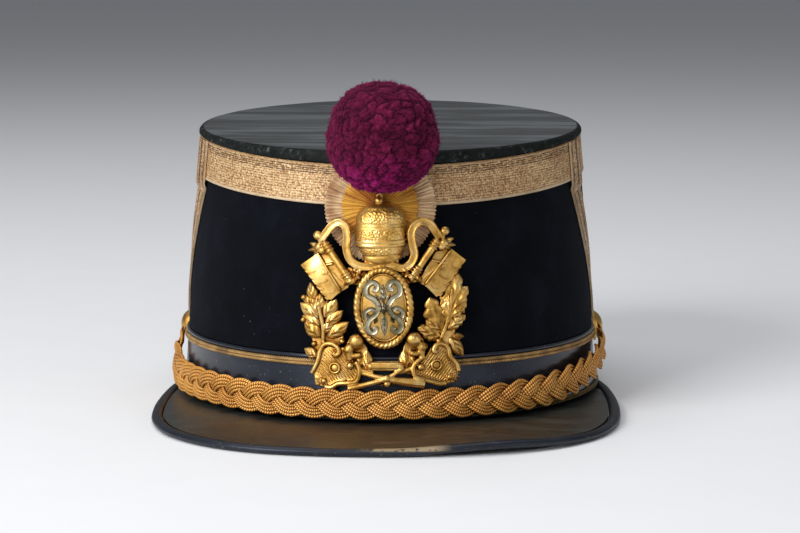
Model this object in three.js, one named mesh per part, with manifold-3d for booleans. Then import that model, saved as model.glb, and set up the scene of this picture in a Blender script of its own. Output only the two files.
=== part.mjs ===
import * as THREE from "three";
import { mergeVertices } from "three/addons/utils/BufferGeometryUtils.js";
import Module from "manifold-3d";

// A parade kepi: an oval cloth body with a leather top, gold lace, a leather
// peak, a plaited chin cord, a pleated cockade, a stamped badge and a pompom.
// All sizes are millimetres and all angles degrees unless a name says otherwise.
// In the hat's own frame the rim is level at height 0 and the front faces -Y.

const wasm = await Module();
wasm.setup();

// The oval cone of the cloth body
const RIM_HALF_WIDTH = 82.7;
const RIM_HALF_LENGTH = 101.6;
const TOP_HALF_WIDTH = 74.6;
const TOP_HALF_LENGTH = 88.1;
const TOP_FORWARD = 1.1;
const CROWN_HEIGHT = 104.4;
const TOP_SLOPE = 0.061;
const SIDE_BULGE = 0.4;
const CLOTH_WALL = 3.0;
const LEVEL_BELOW = 50.0;
const GAP = 0.3;
const RING_SEGMENTS = 48;

// The leather top with its turned-down edge
const TOP_LEATHER = 2.0;
const SKIRT_OUT = 1.5;
const SKIRT_AT_SIDES = 2.2;
const SKIRT_MORE_AT_ENDS = 2.6;

// Lace, piping and cords laid on the body
const LACE_WIDTH = 15.0;
const LACE_THICKNESS = 0.7;
const SIDE_LACE = { across: 8.9, underBand: 80.5, overBand: 82.6, slantRows: 10 };
const SIDE_LACE_FRONT = [
  { height: 24, angle: 92.0 },
  { height: 50, angle: 79.5 },
  { height: 66, angle: 72.5 },
  { height: 82, angle: 66.2 },
  { height: 105, angle: 66.0 },
];
const LEATHER_BAND_BOTTOM = 0.6;
const LEATHER_BAND_TOP = 24.3;
const LEATHER_BAND_THICKNESS = 1.0;
const PIPING_HEIGHT = 1.5;
const PIPING_OUT = 0.8;
const UPPER_CORD = { bottom: 20.2, top: 22.6, thickness: 1.0 };
const BASE_CORD = { bottom: 1.4, top: 3.0, thickness: 1.1 };

// The peak and its bound edge
const PEAK_THICKNESS = 2.0;
const PEAK_CROWNING = 0.6;
const PEAK_TUCK = 2.5;
const BINDING_WIDTH = 4.2;
const BINDING_THICKNESS = 3.0;
const PEAK_MEETS_BINDING = 2.6;
const REST_TILT = 1.16;
const PEAK_EDGE = [
  { x: 83.4, y: 3.0 },
  { x: 86.6, y: -8.0 },
  { x: 88.8, y: -30.0 },
  { x: 89.2, y: -62.0 },
  { x: 86.5, y: -88.0 },
  { x: 78.5, y: -110.0 },
  { x: 64.0, y: -127.5 },
  { x: 46.0, y: -138.5 },
  { x: 24.0, y: -144.0 },
];
const PEAK_FRONT = -145.5;
const PEAK_ENDS = { share: 0.058, angle: 82 };
const PEAK_COLUMNS = 26;
const BINDING_STEPS = 44;
const PEAK_LIFT = { x: 42.0, halfSpan: 42.0, rise: 2.0 };

// The chin cord, a flat plait of three strands hung between two side buttons
const PLAIT_BACK = 1.7;
const PLAIT_PERIOD = 30.0;
const PLAIT_THICKNESS = 4.6;
const PLAIT_RELIEF = 0.9;
const PLAIT_STEPS = 120;
const STRAND_SWING = 0.6;
const STRAND_HALF = 0.4;
const PLAIT_ROUTE = [
  { angle: -92, centre: 20.5, half: 2.2 },
  { angle: -86, centre: 14.5, half: 4.4 },
  { angle: -80, centre: 9.6, half: 6.0 },
  { angle: -70, centre: 7.8, half: 6.2 },
  { angle: -55, centre: 7.7, half: 6.1 },
  { angle: -30, centre: 7.2, half: 5.8 },
  { angle: 0, centre: 7.1, half: 5.3 },
  { angle: 30, centre: 7.6, half: 5.7 },
  { angle: 45, centre: 8.3, half: 6.2 },
  { angle: 57, centre: 10.0, half: 6.1 },
  { angle: 69, centre: 12.5, half: 5.9 },
  { angle: 80, centre: 15.8, half: 5.2 },
  { angle: 88, centre: 19.5, half: 3.6 },
  { angle: 92, centre: 21.5, half: 2.2 },
];
const BUTTON = { angle: 97.6, height: 21.5, radius: 6.5, out: 1.7 };

// The pleated cockade, the tongue that carries the pompom, and the pompom
const COCKADE = {
  x: -1.4, height: 79.0, radius: 20.6, inner: 14.2, back: 2.9, thickness: 1.7, pleats: 40,
};
const TONGUE = { x: -0.8, width: 8.0, bottom: 76.0, top: 106.0, back: 1.8, thickness: 0.8 };
const POMPOM = {
  x: -0.1, y: -108.0, height: 105.5, radius: 20.1, core: 17.5, tufts: 30, tuftRadius: 6.4,
};

// The badge, drawn flat about the middle of its oval, then curved to the body
const BADGE = { x: 0.1, height: 42.8, lean: 2.2, lowBack: 1.9, highBack: 5.2 };
const BADGE_STEP = { from: 26.0, to: 57.0 };

const radians = THREE.MathUtils.degToRad;
const lerp = THREE.MathUtils.lerp;
const smoothstep = THREE.MathUtils.smoothstep;

// Merges shared corners, drops flat triangles and turns the faces outward.
function closed(geometry) {
  geometry.deleteAttribute("normal");
  geometry.deleteAttribute("uv");
  const merged = mergeVertices(geometry, 1e-4);
  const index = merged.getIndex().array;
  const at = merged.getAttribute("position");
  const corners = [new THREE.Vector3(), new THREE.Vector3(), new THREE.Vector3()];
  const kept = [];
  let volume = 0;
  for (let i = 0; i < index.length; i += 3) {
    const [a, b, c] = [index[i], index[i + 1], index[i + 2]];
    if (a === b || b === c || c === a) continue;
    kept.push(a, b, c);
    [a, b, c].forEach((vertex, k) => corners[k].fromBufferAttribute(at, vertex));
    volume += corners[0].dot(corners[1].cross(corners[2]));
  }
  if (volume < 0) {
    for (let i = 0; i < kept.length; i += 3) {
      [kept[i + 1], kept[i + 2]] = [kept[i + 2], kept[i + 1]];
    }
  }
  merged.setIndex(kept);
  return merged;
}

// Moves every corner of a geometry by a rule.
function moved(geometry, rule) {
  const at = geometry.getAttribute("position");
  const corner = new THREE.Vector3();
  for (let i = 0; i < at.count; i += 1) {
    corner.fromBufferAttribute(at, i);
    const place = rule(corner.clone());
    at.setXYZ(i, place.x, place.y, place.z);
  }
  return geometry;
}

function shaped(geometry, rule) {
  return closed(moved(geometry, rule));
}

function toSolid(geometry) {
  const merged = closed(geometry);
  return new wasm.Manifold(new wasm.Mesh({
    numProp: 3,
    vertProperties: new Float32Array(merged.getAttribute("position").array),
    triVerts: new Uint32Array(merged.getIndex().array),
  }));
}

function fromSolid(solid) {
  const mesh = solid.getMesh();
  const geometry = new THREE.BufferGeometry();
  geometry.setAttribute("position", new THREE.BufferAttribute(mesh.vertProperties, 3));
  geometry.setIndex([...mesh.triVerts]);
  return geometry;
}

function fused(geometries) {
  return geometries.map(toSolid).reduce((sum, next) => sum.add(next));
}

// The cloth surface's oval at a height
function ovalAt(height) {
  const rise = height / CROWN_HEIGHT;
  const bulge = 4 * SIDE_BULGE * rise * (1 - rise);
  return {
    halfWidth: lerp(RIM_HALF_WIDTH, TOP_HALF_WIDTH, rise) + bulge,
    halfLength: lerp(RIM_HALF_LENGTH, TOP_HALF_LENGTH, rise) + bulge,
    centreY: -TOP_FORWARD * rise,
  };
}

// A point on the side, from its angle round the hat (0 at the front, + to the
// right), its height and how far it stands out from the cloth
function onSide(angle, height, out) {
  const oval = ovalAt(height);
  return new THREE.Vector3(
    (oval.halfWidth + out) * Math.sin(angle),
    oval.centreY - (oval.halfLength + out) * Math.cos(angle),
    height,
  );
}

// The same for a point near the front that is given by its x instead of its angle
function onFront(x, height, out, back) {
  const oval = ovalAt(height);
  const angle = Math.asin(x / (oval.halfWidth + back));
  return onSide(angle, height, back + out);
}

// The sloping top's height above the rim, round its edge
function topHeight(angle) {
  return CROWN_HEIGHT - TOP_SLOPE * TOP_HALF_LENGTH * Math.cos(angle);
}

function skirtDepth(angle) {
  return SKIRT_AT_SIDES + SKIRT_MORE_AT_ENDS * Math.cos(angle) ** 2;
}

// A ring round the hat: the profile's rows give how far each corner stands out
// from the cloth and its level, and the rule turns level and angle into a height.
const TURNING_RADIUS = 200;
function ring(profile, heightRule = (level) => level) {
  const corners = profile.map(([out, level]) => new THREE.Vector2(TURNING_RADIUS + out, level));
  corners.push(corners[0].clone());
  return shaped(new THREE.LatheGeometry(corners, RING_SEGMENTS), (corner) => {
    const angle = Math.atan2(corner.x, corner.z);
    const out = Math.hypot(corner.x, corner.z) - TURNING_RADIUS;
    return onSide(angle, heightRule(corner.y, angle), out);
  });
}

// The cloth body: its rings are level low down and slope with the top above
function crownBody() {
  const underTop = TOP_LEATHER + GAP;
  const topLevel = CROWN_HEIGHT - underTop;
  const recess = LEATHER_BAND_TOP + GAP;
  const recessOut = -LEATHER_BAND_THICKNESS - GAP;
  const profile = [
    [-CLOTH_WALL, 0],
    [recessOut, 0],
    [recessOut, recess],
    [0, recess],
    [0, LEVEL_BELOW],
    [0, topLevel],
    [-CLOTH_WALL, topLevel],
    [-CLOTH_WALL, LEVEL_BELOW],
  ];
  return ring(profile, (level, angle) => {
    const share = Math.max(0, (level - LEVEL_BELOW) / (topLevel - LEVEL_BELOW));
    return level + share * (topHeight(angle) - CROWN_HEIGHT);
  });
}

// The leather top: rows of reach (1 at the cloth's edge), extra out and drop
function crownTop() {
  const rows = [
    { reach: 0, out: 0, drop: 0, skirt: 0 },
    { reach: 0.6, out: 0, drop: 0, skirt: 0 },
    { reach: 1, out: -0.9, drop: 0, skirt: 0 },
    { reach: 1, out: 0.7, drop: 0.5, skirt: 0 },
    { reach: 1, out: SKIRT_OUT, drop: 1.7, skirt: 0 },
    { reach: 1, out: SKIRT_OUT, drop: 0, skirt: 1 },
    { reach: 1, out: GAP, drop: 0, skirt: 1 },
    { reach: 1, out: GAP, drop: TOP_LEATHER, skirt: 0 },
    { reach: 0, out: 0, drop: TOP_LEATHER, skirt: 0 },
  ];
  const outline = rows.map((row, level) => new THREE.Vector2(row.reach, level));
  const lathe = new THREE.LatheGeometry(outline, RING_SEGMENTS);
  return shaped(lathe, (corner) => {
    const row = rows[Math.round(corner.y)];
    const angle = Math.atan2(corner.x, corner.z);
    const drop = row.drop + row.skirt * Math.max(skirtDepth(angle), TOP_LEATHER);
    const edge = onSide(angle, topHeight(angle) - drop, row.out);
    const middle = new THREE.Vector3(0, -TOP_FORWARD, CROWN_HEIGHT - drop);
    return middle.lerp(edge, row.reach);
  });
}

function laceBand() {
  const out = GAP + LACE_THICKNESS;
  const profile = [[GAP, LACE_WIDTH], [out, LACE_WIDTH], [out, 0], [GAP, 0]];
  return ring(profile, (level, angle) => (
    topHeight(angle) - skirtDepth(angle) - GAP - level
  ));
}

function leatherBand() {
  const edge = LEATHER_BAND_TOP - PIPING_HEIGHT;
  const profile = [
    [-LEATHER_BAND_THICKNESS, LEATHER_BAND_BOTTOM],
    [0, LEATHER_BAND_BOTTOM],
    [0, edge],
    [PIPING_OUT, edge + 0.5 * PIPING_HEIGHT],
    [0.1, LEATHER_BAND_TOP],
    [-LEATHER_BAND_THICKNESS, LEATHER_BAND_TOP],
  ];
  return ring(profile);
}

// A braid of two cords with a groove between them
function twinCord(size) {
  const middle = (size.bottom + size.top) / 2;
  const crest = 0.22 * (size.top - size.bottom);
  const out = GAP + size.thickness;
  return ring([
    [GAP, size.bottom],
    [out, size.bottom + crest],
    [out - 0.4 * size.thickness, middle],
    [out, size.top - crest],
    [GAP, size.top],
  ]);
}

// Reads a table's column at a value of its key column, in a straight line
// between the rows on either side
function fromTable(table, key, value, column) {
  const after = table.findIndex((row) => row[key] >= value);
  const next = after < 0 ? table.length - 1 : Math.max(after, 1);
  const [a, b] = [table[next - 1], table[next]];
  const share = (value - a[key]) / (b[key] - a[key]);
  return lerp(a[column], b[column], Math.min(1, Math.max(0, share)));
}

// The side lace runs from the top's skirt down to the piping and slants back.
// It steps out where it crosses the lace band.
function sideLace(side) {
  const bottom = LEATHER_BAND_TOP + PIPING_HEIGHT;
  const heights = [];
  for (let i = 0; i < SIDE_LACE.slantRows; i += 1) {
    heights.push(lerp(bottom, SIDE_LACE.underBand, i / (SIDE_LACE.slantRows - 1)));
  }
  heights.push(SIDE_LACE.overBand, lerp(SIDE_LACE.overBand, CROWN_HEIGHT, 0.5), CROWN_HEIGHT);
  const rows = heights.length - 1;
  const strip = new THREE.BoxGeometry(1, rows, 1, 3, rows, 1);
  return shaped(strip, (corner) => {
    const height = heights[Math.round(corner.y + rows / 2)];
    const front = fromTable(SIDE_LACE_FRONT, "height", height, "angle");
    const angle = radians(front + SIDE_LACE.across * (corner.x + 0.5));
    const limit = topHeight(angle) - skirtDepth(angle) - GAP;
    const crossing = height >= SIDE_LACE.overBand ? LACE_THICKNESS + GAP : 0;
    const out = GAP + crossing + (corner.z + 0.5) * LACE_THICKNESS;
    return onSide(side * angle, Math.min(height, limit), out);
  });
}

// The edge of the peak as a curve from its left end round the front to its right
function peakCurve() {
  const right = PEAK_EDGE.map((row) => new THREE.Vector3(row.x, row.y, 0)).reverse();
  const left = PEAK_EDGE.map((row) => new THREE.Vector3(-row.x, row.y, 0));
  const front = new THREE.Vector3(0, PEAK_FRONT, 0);
  const curve = new THREE.CatmullRomCurve3([...left, front, ...right], false, "centripetal");
  curve.arcLengthDivisions = 400;
  return curve;
}

// The surface that the hat stands on, seen from its own frame: it touches the
// back of the rim and the peak's bound edge.
function standingHeight(y) {
  return -(RIM_HALF_LENGTH - y) * Math.tan(radians(REST_TILT));
}

function peakLift(x) {
  const reach = Math.min(1, Math.abs(x - PEAK_LIFT.x) / PEAK_LIFT.halfSpan);
  return PEAK_LIFT.rise * Math.cos(reach * Math.PI / 2) ** 2;
}

function inward(curve, share) {
  const along = curve.getTangentAt(share);
  return new THREE.Vector3(-along.y, along.x, 0);
}

function peak() {
  const curve = peakCurve();
  const endAngle = radians(PEAK_ENDS.angle);
  const acrossRows = [0, 0.1, 0.4, 0.75, 1];
  const rows = acrossRows.length - 1;
  const box = new THREE.BoxGeometry(1, rows, 1, PEAK_COLUMNS, rows, 1);
  return shaped(box, (corner) => {
    const along = corner.x + 0.5;
    const across = acrossRows[Math.round(corner.y + rows / 2)];
    const share = lerp(PEAK_ENDS.share, 1 - PEAK_ENDS.share, along);
    const angle = lerp(-endAngle, endAngle, along);
    const inner = onSide(angle, 0, -PEAK_TUCK).setZ(-GAP);
    const edge = curve.getPointAt(share);
    const outer = edge.clone().addScaledVector(inward(curve, share), BINDING_WIDTH + GAP);
    outer.z = standingHeight(edge.y) + peakLift(edge.x) + PEAK_MEETS_BINDING;
    const place = inner.lerp(outer, across);
    place.z += PEAK_CROWNING * Math.sin(Math.PI * across) * Math.sin(Math.PI * along);
    place.z += (corner.z - 0.5) * PEAK_THICKNESS;
    return place;
  });
}

// The rolled leather binding round the peak, tapering where it meets the body
function peakBinding() {
  const curve = peakCurve();
  const section = [
    { inset: 1, up: 0 },
    { inset: 0.2, up: 0 },
    { inset: 0, up: 0.5 },
    { inset: 0.2, up: 0.92 },
    { inset: 0.6, up: 1 },
    { inset: 1, up: 0.84 },
  ];
  const tube = new THREE.CylinderGeometry(1, 1, 1, section.length, BINDING_STEPS);
  const turn = 2 * Math.PI / section.length;
  return shaped(tube, (corner) => {
    const share = Math.min(1, Math.max(0, corner.y + 0.5));
    const edge = curve.getPointAt(share);
    const reach = Math.hypot(edge.x / RIM_HALF_WIDTH, edge.y / RIM_HALF_LENGTH);
    const clearance = (1 - 1 / reach) * Math.hypot(edge.x, edge.y) - GAP;
    const width = Math.min(BINDING_WIDTH, clearance);
    const onAxis = Math.hypot(corner.x, corner.z) < 0.5;
    const spot = Math.round(Math.atan2(corner.x, corner.z) / turn + section.length);
    const row = onAxis ? { inset: 0.5, up: 0.5 } : section[spot % section.length];
    const place = edge.clone().addScaledVector(inward(curve, share), row.inset * width);
    place.z = standingHeight(edge.y) + peakLift(edge.x) + row.up * BINDING_THICKNESS;
    return place;
  });
}

// The three strands of a plait at a place along it: each one's height across the
// plait and how far it stands forward, as shares of the plait's half width
function strandsAt(length) {
  return [0, 1, 2].map((strand) => {
    const phase = 2 * Math.PI * (length / PLAIT_PERIOD + strand / 3);
    return { across: STRAND_SWING * Math.sin(phase), forward: Math.sin(2 * phase) };
  });
}

function chinPlait() {
  const section = [
    { across: -0.8, front: 0 },
    { across: -1, front: 0.5 },
    { across: -0.5, front: 1 },
    { across: 0.5, front: 1 },
    { across: 1, front: 0.5 },
    { across: 0.8, front: 0 },
  ];
  const meanRadius = (RIM_HALF_WIDTH + RIM_HALF_LENGTH) / 2;
  const first = PLAIT_ROUTE[0].angle;
  const last = PLAIT_ROUTE[PLAIT_ROUTE.length - 1].angle;
  const tube = new THREE.CylinderGeometry(1, 1, PLAIT_STEPS, section.length, PLAIT_STEPS);
  const turn = 2 * Math.PI / section.length;
  return shaped(tube, (corner) => {
    const angle = lerp(first, last, corner.y / PLAIT_STEPS + 0.5);
    const strands = strandsAt(radians(angle) * meanRadius);
    const half = fromTable(PLAIT_ROUTE, "angle", angle, "half");
    const onAxis = Math.hypot(corner.x, corner.z) < 0.5;
    const spot = Math.round(Math.atan2(corner.x, corner.z) / turn + section.length);
    const row = onAxis ? { across: 0, front: 0.5 } : section[spot % section.length];
    const top = Math.max(...strands.map((strand) => strand.across)) + STRAND_HALF;
    const bottom = Math.min(...strands.map((strand) => strand.across)) - STRAND_HALF;
    const across = row.across < 0 ? -row.across * bottom : row.across * top;
    const near = strands.map((strand) => {
      const apart = Math.abs(strand.across - across) / (2 * STRAND_HALF);
      return strand.forward * Math.max(0, 1 - apart);
    });
    const relief = row.front * PLAIT_RELIEF * Math.max(...near);
    const depth = PLAIT_THICKNESS * Math.min(1, half / 5) - PLAIT_RELIEF;
    const centre = fromTable(PLAIT_ROUTE, "angle", angle, "centre");
    const height = centre + across * half;
    return onSide(radians(angle), height, PLAIT_BACK + row.front * depth + relief);
  });
}

// A plain domed button whose flat back lies on the cords
function sideButton(side) {
  const outline = [
    [0, 0],
    [BUTTON.radius, 0],
    [BUTTON.radius, 1.0],
    [0.8 * BUTTON.radius, 2.8],
    [0.4 * BUTTON.radius, 3.8],
    [0, 4.1],
  ].map(([across, up]) => new THREE.Vector2(across, up));
  const button = new THREE.LatheGeometry(outline, 16);
  const angle = side * radians(BUTTON.angle);
  const centre = onSide(angle, BUTTON.height, BUTTON.out);
  const lean = (RIM_HALF_WIDTH - TOP_HALF_WIDTH) / CROWN_HEIGHT;
  const outward = new THREE.Vector3(side, 0, lean).normalize();
  const turn = new THREE.Quaternion().setFromUnitVectors(new THREE.Vector3(0, 1, 0), outward);
  return shaped(button, (corner) => corner.applyQuaternion(turn).add(centre));
}

// A pleated disc with a raised middle disc, curved to the front of the body
function cockade() {
  const rows = [
    { radius: 0, up: 0 },
    { radius: 11, up: 0 },
    { radius: COCKADE.radius, up: 0 },
    { radius: COCKADE.radius, up: 0.7 },
    { radius: COCKADE.inner + 0.3, up: 1.2 },
    { radius: COCKADE.inner, up: 1.6 },
    { radius: 6, up: COCKADE.thickness },
    { radius: 0, up: COCKADE.thickness },
  ];
  const outline = rows.map((row, level) => new THREE.Vector2(row.radius, level));
  const lathe = new THREE.LatheGeometry(outline, COCKADE.pleats);
  return shaped(lathe, (corner) => {
    const row = rows[Math.round(corner.y)];
    const spoke = Math.round(Math.atan2(corner.x, corner.z) * COCKADE.pleats / (2 * Math.PI));
    const pleat = row.radius > COCKADE.inner + 1 && spoke % 2 ? 0.96 : 1;
    const x = COCKADE.x + corner.x * pleat;
    return onFront(x, COCKADE.height + corner.z * pleat, row.up, COCKADE.back);
  });
}

// The hidden tongue behind the cockade that the pompom is fixed to
function pompomTongue() {
  const height = TONGUE.top - TONGUE.bottom;
  const box = new THREE.BoxGeometry(TONGUE.width, height, TONGUE.thickness, 2, 3, 1);
  const middle = (TONGUE.top + TONGUE.bottom) / 2;
  return shaped(box, (corner) => onFront(
    TONGUE.x + corner.x,
    middle + corner.y,
    corner.z + TONGUE.thickness / 2,
    TONGUE.back,
  ));
}

// Tufts spread evenly over a ball by the golden angle, cut clear of what is behind
function pompom() {
  const lumps = [new THREE.IcosahedronGeometry(POMPOM.core, 1)];
  const goldenAngle = Math.PI * (3 - Math.sqrt(5));
  for (let i = 0; i < POMPOM.tufts; i += 1) {
    const up = 1 - 2 * (i + 0.5) / POMPOM.tufts;
    const ringRadius = Math.sqrt(1 - up * up);
    const turn = goldenAngle * i;
    const reach = POMPOM.radius - POMPOM.tuftRadius + 0.7 * Math.sin(5 * i);
    const direction = new THREE.Vector3(
      ringRadius * Math.cos(turn),
      ringRadius * Math.sin(turn),
      up,
    );
    const tuft = new THREE.IcosahedronGeometry(POMPOM.tuftRadius, 0);
    tuft.rotateX(1.7 * i);
    tuft.rotateZ(2.3 * i);
    tuft.translate(...direction.multiplyScalar(reach).toArray());
    lumps.push(tuft);
  }
  const place = new THREE.Vector3(POMPOM.x, POMPOM.y, POMPOM.height);
  const ball = fused(lumps).translate(place.toArray());
  const cockadeFront = COCKADE.back + COCKADE.thickness + GAP;
  const tongueFront = TONGUE.back + TONGUE.thickness + GAP;
  const bottom = POMPOM.height - 2 * POMPOM.radius;
  const top = POMPOM.height + 2 * POMPOM.radius;
  const outline = [
    [0, bottom],
    [TURNING_RADIUS + cockadeFront, bottom],
    [TURNING_RADIUS + cockadeFront, COCKADE.height + COCKADE.radius + GAP],
    [TURNING_RADIUS + tongueFront, COCKADE.height + COCKADE.radius + GAP],
    [TURNING_RADIUS + tongueFront, top],
    [0, top],
  ].map(([out, level]) => new THREE.Vector2(out, level));
  const behind = shaped(new THREE.LatheGeometry(outline, RING_SEGMENTS), (corner) => {
    const angle = Math.atan2(corner.x, corner.z);
    const across = Math.hypot(corner.x, corner.z);
    if (across < 1) return new THREE.Vector3(0, 0, corner.y);
    return onSide(angle, corner.y, across - TURNING_RADIUS);
  });
  return fromSolid(ball.subtract(toSolid(behind)));
}

// Flat shapes for the badge: u is across, v is up, and w is the relief
function plate(rows, depth) {
  const shape = new THREE.Shape(rows.map((row) => new THREE.Vector2(row.u, row.v)));
  return new THREE.ExtrudeGeometry(shape, { depth, bevelEnabled: false, steps: 1 });
}

function knob(u, v, w, radius) {
  const ball = new THREE.SphereGeometry(radius, 6, 4);
  return ball.translate(u, v, w);
}

function rod(from, to, radius, sides = 5) {
  const span = new THREE.Vector3().subVectors(to, from);
  const bar = new THREE.CylinderGeometry(radius, radius, span.length(), sides, 1);
  const turn = new THREE.Quaternion().setFromUnitVectors(
    new THREE.Vector3(0, 1, 0),
    span.clone().normalize(),
  );
  bar.applyQuaternion(turn);
  const middle = from.clone().add(to).multiplyScalar(0.5);
  return bar.translate(middle.x, middle.y, middle.z);
}

function ribbon(rows, radius, steps, sides = 5) {
  const curve = new THREE.CatmullRomCurve3(rows.map((row) => flat(row.u, row.v, row.w)));
  const section = new THREE.Shape();
  for (let i = 0; i < sides; i += 1) {
    const turn = 2 * Math.PI * i / sides;
    const [x, y] = [radius * Math.cos(turn), radius * Math.sin(turn)];
    if (i === 0) section.moveTo(x, y);
    else section.lineTo(x, y);
  }
  return new THREE.ExtrudeGeometry(section, { steps, extrudePath: curve });
}

function leaf(row) {
  const span = new THREE.Vector2(row.tipU - row.baseU, row.tipV - row.baseV);
  const blade = new THREE.SphereGeometry(1, 4, 3);
  blade.scale(row.width / 2, span.length() / 2, 1.3);
  blade.rotateZ(Math.atan2(span.y, span.x) - Math.PI / 2);
  const [u, v] = [(row.baseU + row.tipU) / 2, (row.baseV + row.tipV) / 2];
  return blade.translate(u, v, 1.3);
}

function flat(u, v, w) {
  return new THREE.Vector3(u, v, w);
}

const LEFT_LEAVES = [
  { baseU: -24.5, baseV: 1.0, tipU: -27.2, tipV: 9.8, width: 4.6 },
  { baseU: -24.2, baseV: -3.8, tipU: -30.4, tipV: 0.9, width: 4.4 },
  { baseU: -23.2, baseV: -9.8, tipU: -29.3, tipV: -5.8, width: 4.4 },
  { baseU: -24.6, baseV: -5.4, tipU: -18.5, tipV: 3.5, width: 4.4 },
  { baseU: -23.4, baseV: -8.4, tipU: -15.3, tipV: -0.8, width: 4.4 },
  { baseU: -22.2, baseV: -12.6, tipU: -13.1, tipV: -5.0, width: 4.2 },
  { baseU: -22.2, baseV: -13.9, tipU: -29.3, tipV: -15.0, width: 3.6 },
];
const RIGHT_LEAVES = [
  { baseU: 23.6, baseV: 2.0, tipU: 27.3, tipV: 11.0, width: 5.6 },
  { baseU: 24.2, baseV: 0.6, tipU: 30.8, tipV: 6.8, width: 5.0 },
  { baseU: 23.6, baseV: -4.2, tipU: 30.3, tipV: 1.3, width: 5.2 },
  { baseU: 22.8, baseV: -9.4, tipU: 29.9, tipV: -3.9, width: 4.8 },
  { baseU: 21.2, baseV: -11.6, tipU: 15.9, tipV: 2.0, width: 7.8 },
  { baseU: 22.6, baseV: -12.6, tipU: 29.5, tipV: -10.6, width: 3.6 },
  { baseU: 22.6, baseV: -12.4, tipU: 28.0, tipV: -17.0, width: 4.4 },
];

// The banded domed cap over the oval: rows of half width and height
function domedCap() {
  const rows = [
    { half: 0, up: 17.0 },
    { half: 6.6, up: 17.0 },
    { half: 8.8, up: 24.0 },
    { half: 9.8, up: 24.9 },
    { half: 9.8, up: 31.2 },
    { half: 8.4, up: 35.0 },
    { half: 4.8, up: 37.6 },
    { half: 0, up: 38.2 },
  ];
  const outline = rows.map((row) => new THREE.Vector2(row.half, row.up));
  return new THREE.LatheGeometry(outline, 10).scale(1, 1, 0.5).translate(-0.8, 0, 0);
}

// The oval shield with its rope edge and domed field
function ovalShield() {
  const rows = [
    { reach: 0, up: 0 },
    { reach: 1, up: 0 },
    { reach: 1, up: 2.6 },
    { reach: 0.93, up: 3.6 },
    { reach: 0.84, up: 2.4 },
    { reach: 0.5, up: 3.3 },
    { reach: 0, up: 3.7 },
  ];
  const outline = rows.map((row) => new THREE.Vector2(row.reach, row.up));
  return new THREE.LatheGeometry(outline, 18).rotateX(Math.PI / 2).scale(10.5, 15.0, 1);
}

// Plain scrollwork raised on the shield's field: an arm on each side of two buds
function shieldScrolls() {
  const rows = [
    { u: -3.4, v: -7.0, w: 3.3 },
    { u: -4.5, v: -9.0, w: 3.0 },
    { u: -6.0, v: -7.2, w: 2.9 },
    { u: -4.6, v: -3.8, w: 3.2 },
    { u: -1.8, v: 0.6, w: 3.6 },
    { u: -4.6, v: 4.2, w: 3.2 },
    { u: -5.6, v: 8.0, w: 2.9 },
    { u: -3.7, v: 9.6, w: 2.9 },
    { u: -2.3, v: 7.8, w: 3.2 },
  ];
  const arms = [-1, 1].map((side) => (
    ribbon(rows.map((row) => ({ ...row, u: -side * row.u })), 0.7, 18, 4)
  ));
  const buds = [
    { baseU: 0, baseV: 1.2, tipU: 0, tipV: 8.8, width: 2.6 },
    { baseU: 0, baseV: -1.2, tipU: 0, tipV: -10.2, width: 2.8 },
  ].map((row) => leaf(row).translate(0, 0, 1.7));
  return [...arms, ...buds, knob(0, 0, 3.9, 1.2)];
}

// A banner on each side: a plate with three notches in its outer edge
function banner(side) {
  const outerTop = new THREE.Vector2(-30.6, 16.6);
  const outerBottom = new THREE.Vector2(-20.6, 3.2);
  const rows = [{ u: -21.6, v: 22.8 }, { u: outerTop.x, v: outerTop.y }];
  for (const share of [0.25, 0.5, 0.75]) {
    const before = outerTop.clone().lerp(outerBottom, share - 0.05);
    const after = outerTop.clone().lerp(outerBottom, share + 0.05);
    const notch = outerTop.clone().lerp(outerBottom, share).add(new THREE.Vector2(1.3, 0.9));
    for (const corner of [before, notch, after]) rows.push({ u: corner.x, v: corner.y });
  }
  rows.push({ u: outerBottom.x, v: outerBottom.y }, { u: -12.2, v: 9.2 });
  return plate(rows.map((row) => ({ u: -side * row.u, v: row.v })), 1.9);
}

function scrollPlate(side) {
  const rows = [
    { u: -25.4, v: -22.4 },
    { u: -23.4, v: -15.0 },
    { u: -20.4, v: -12.6 },
    { u: -17.4, v: -13.6 },
    { u: -11.7, v: -15.6 },
    { u: -9.6, v: -22.8 },
    { u: -10.9, v: -27.0 },
    { u: -16.4, v: -27.2 },
    { u: -21.6, v: -29.2 },
    { u: -25.2, v: -27.4 },
  ];
  return plate(rows.map((row) => ({ u: -side * row.u, v: row.v })), 1.7);
}

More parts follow.
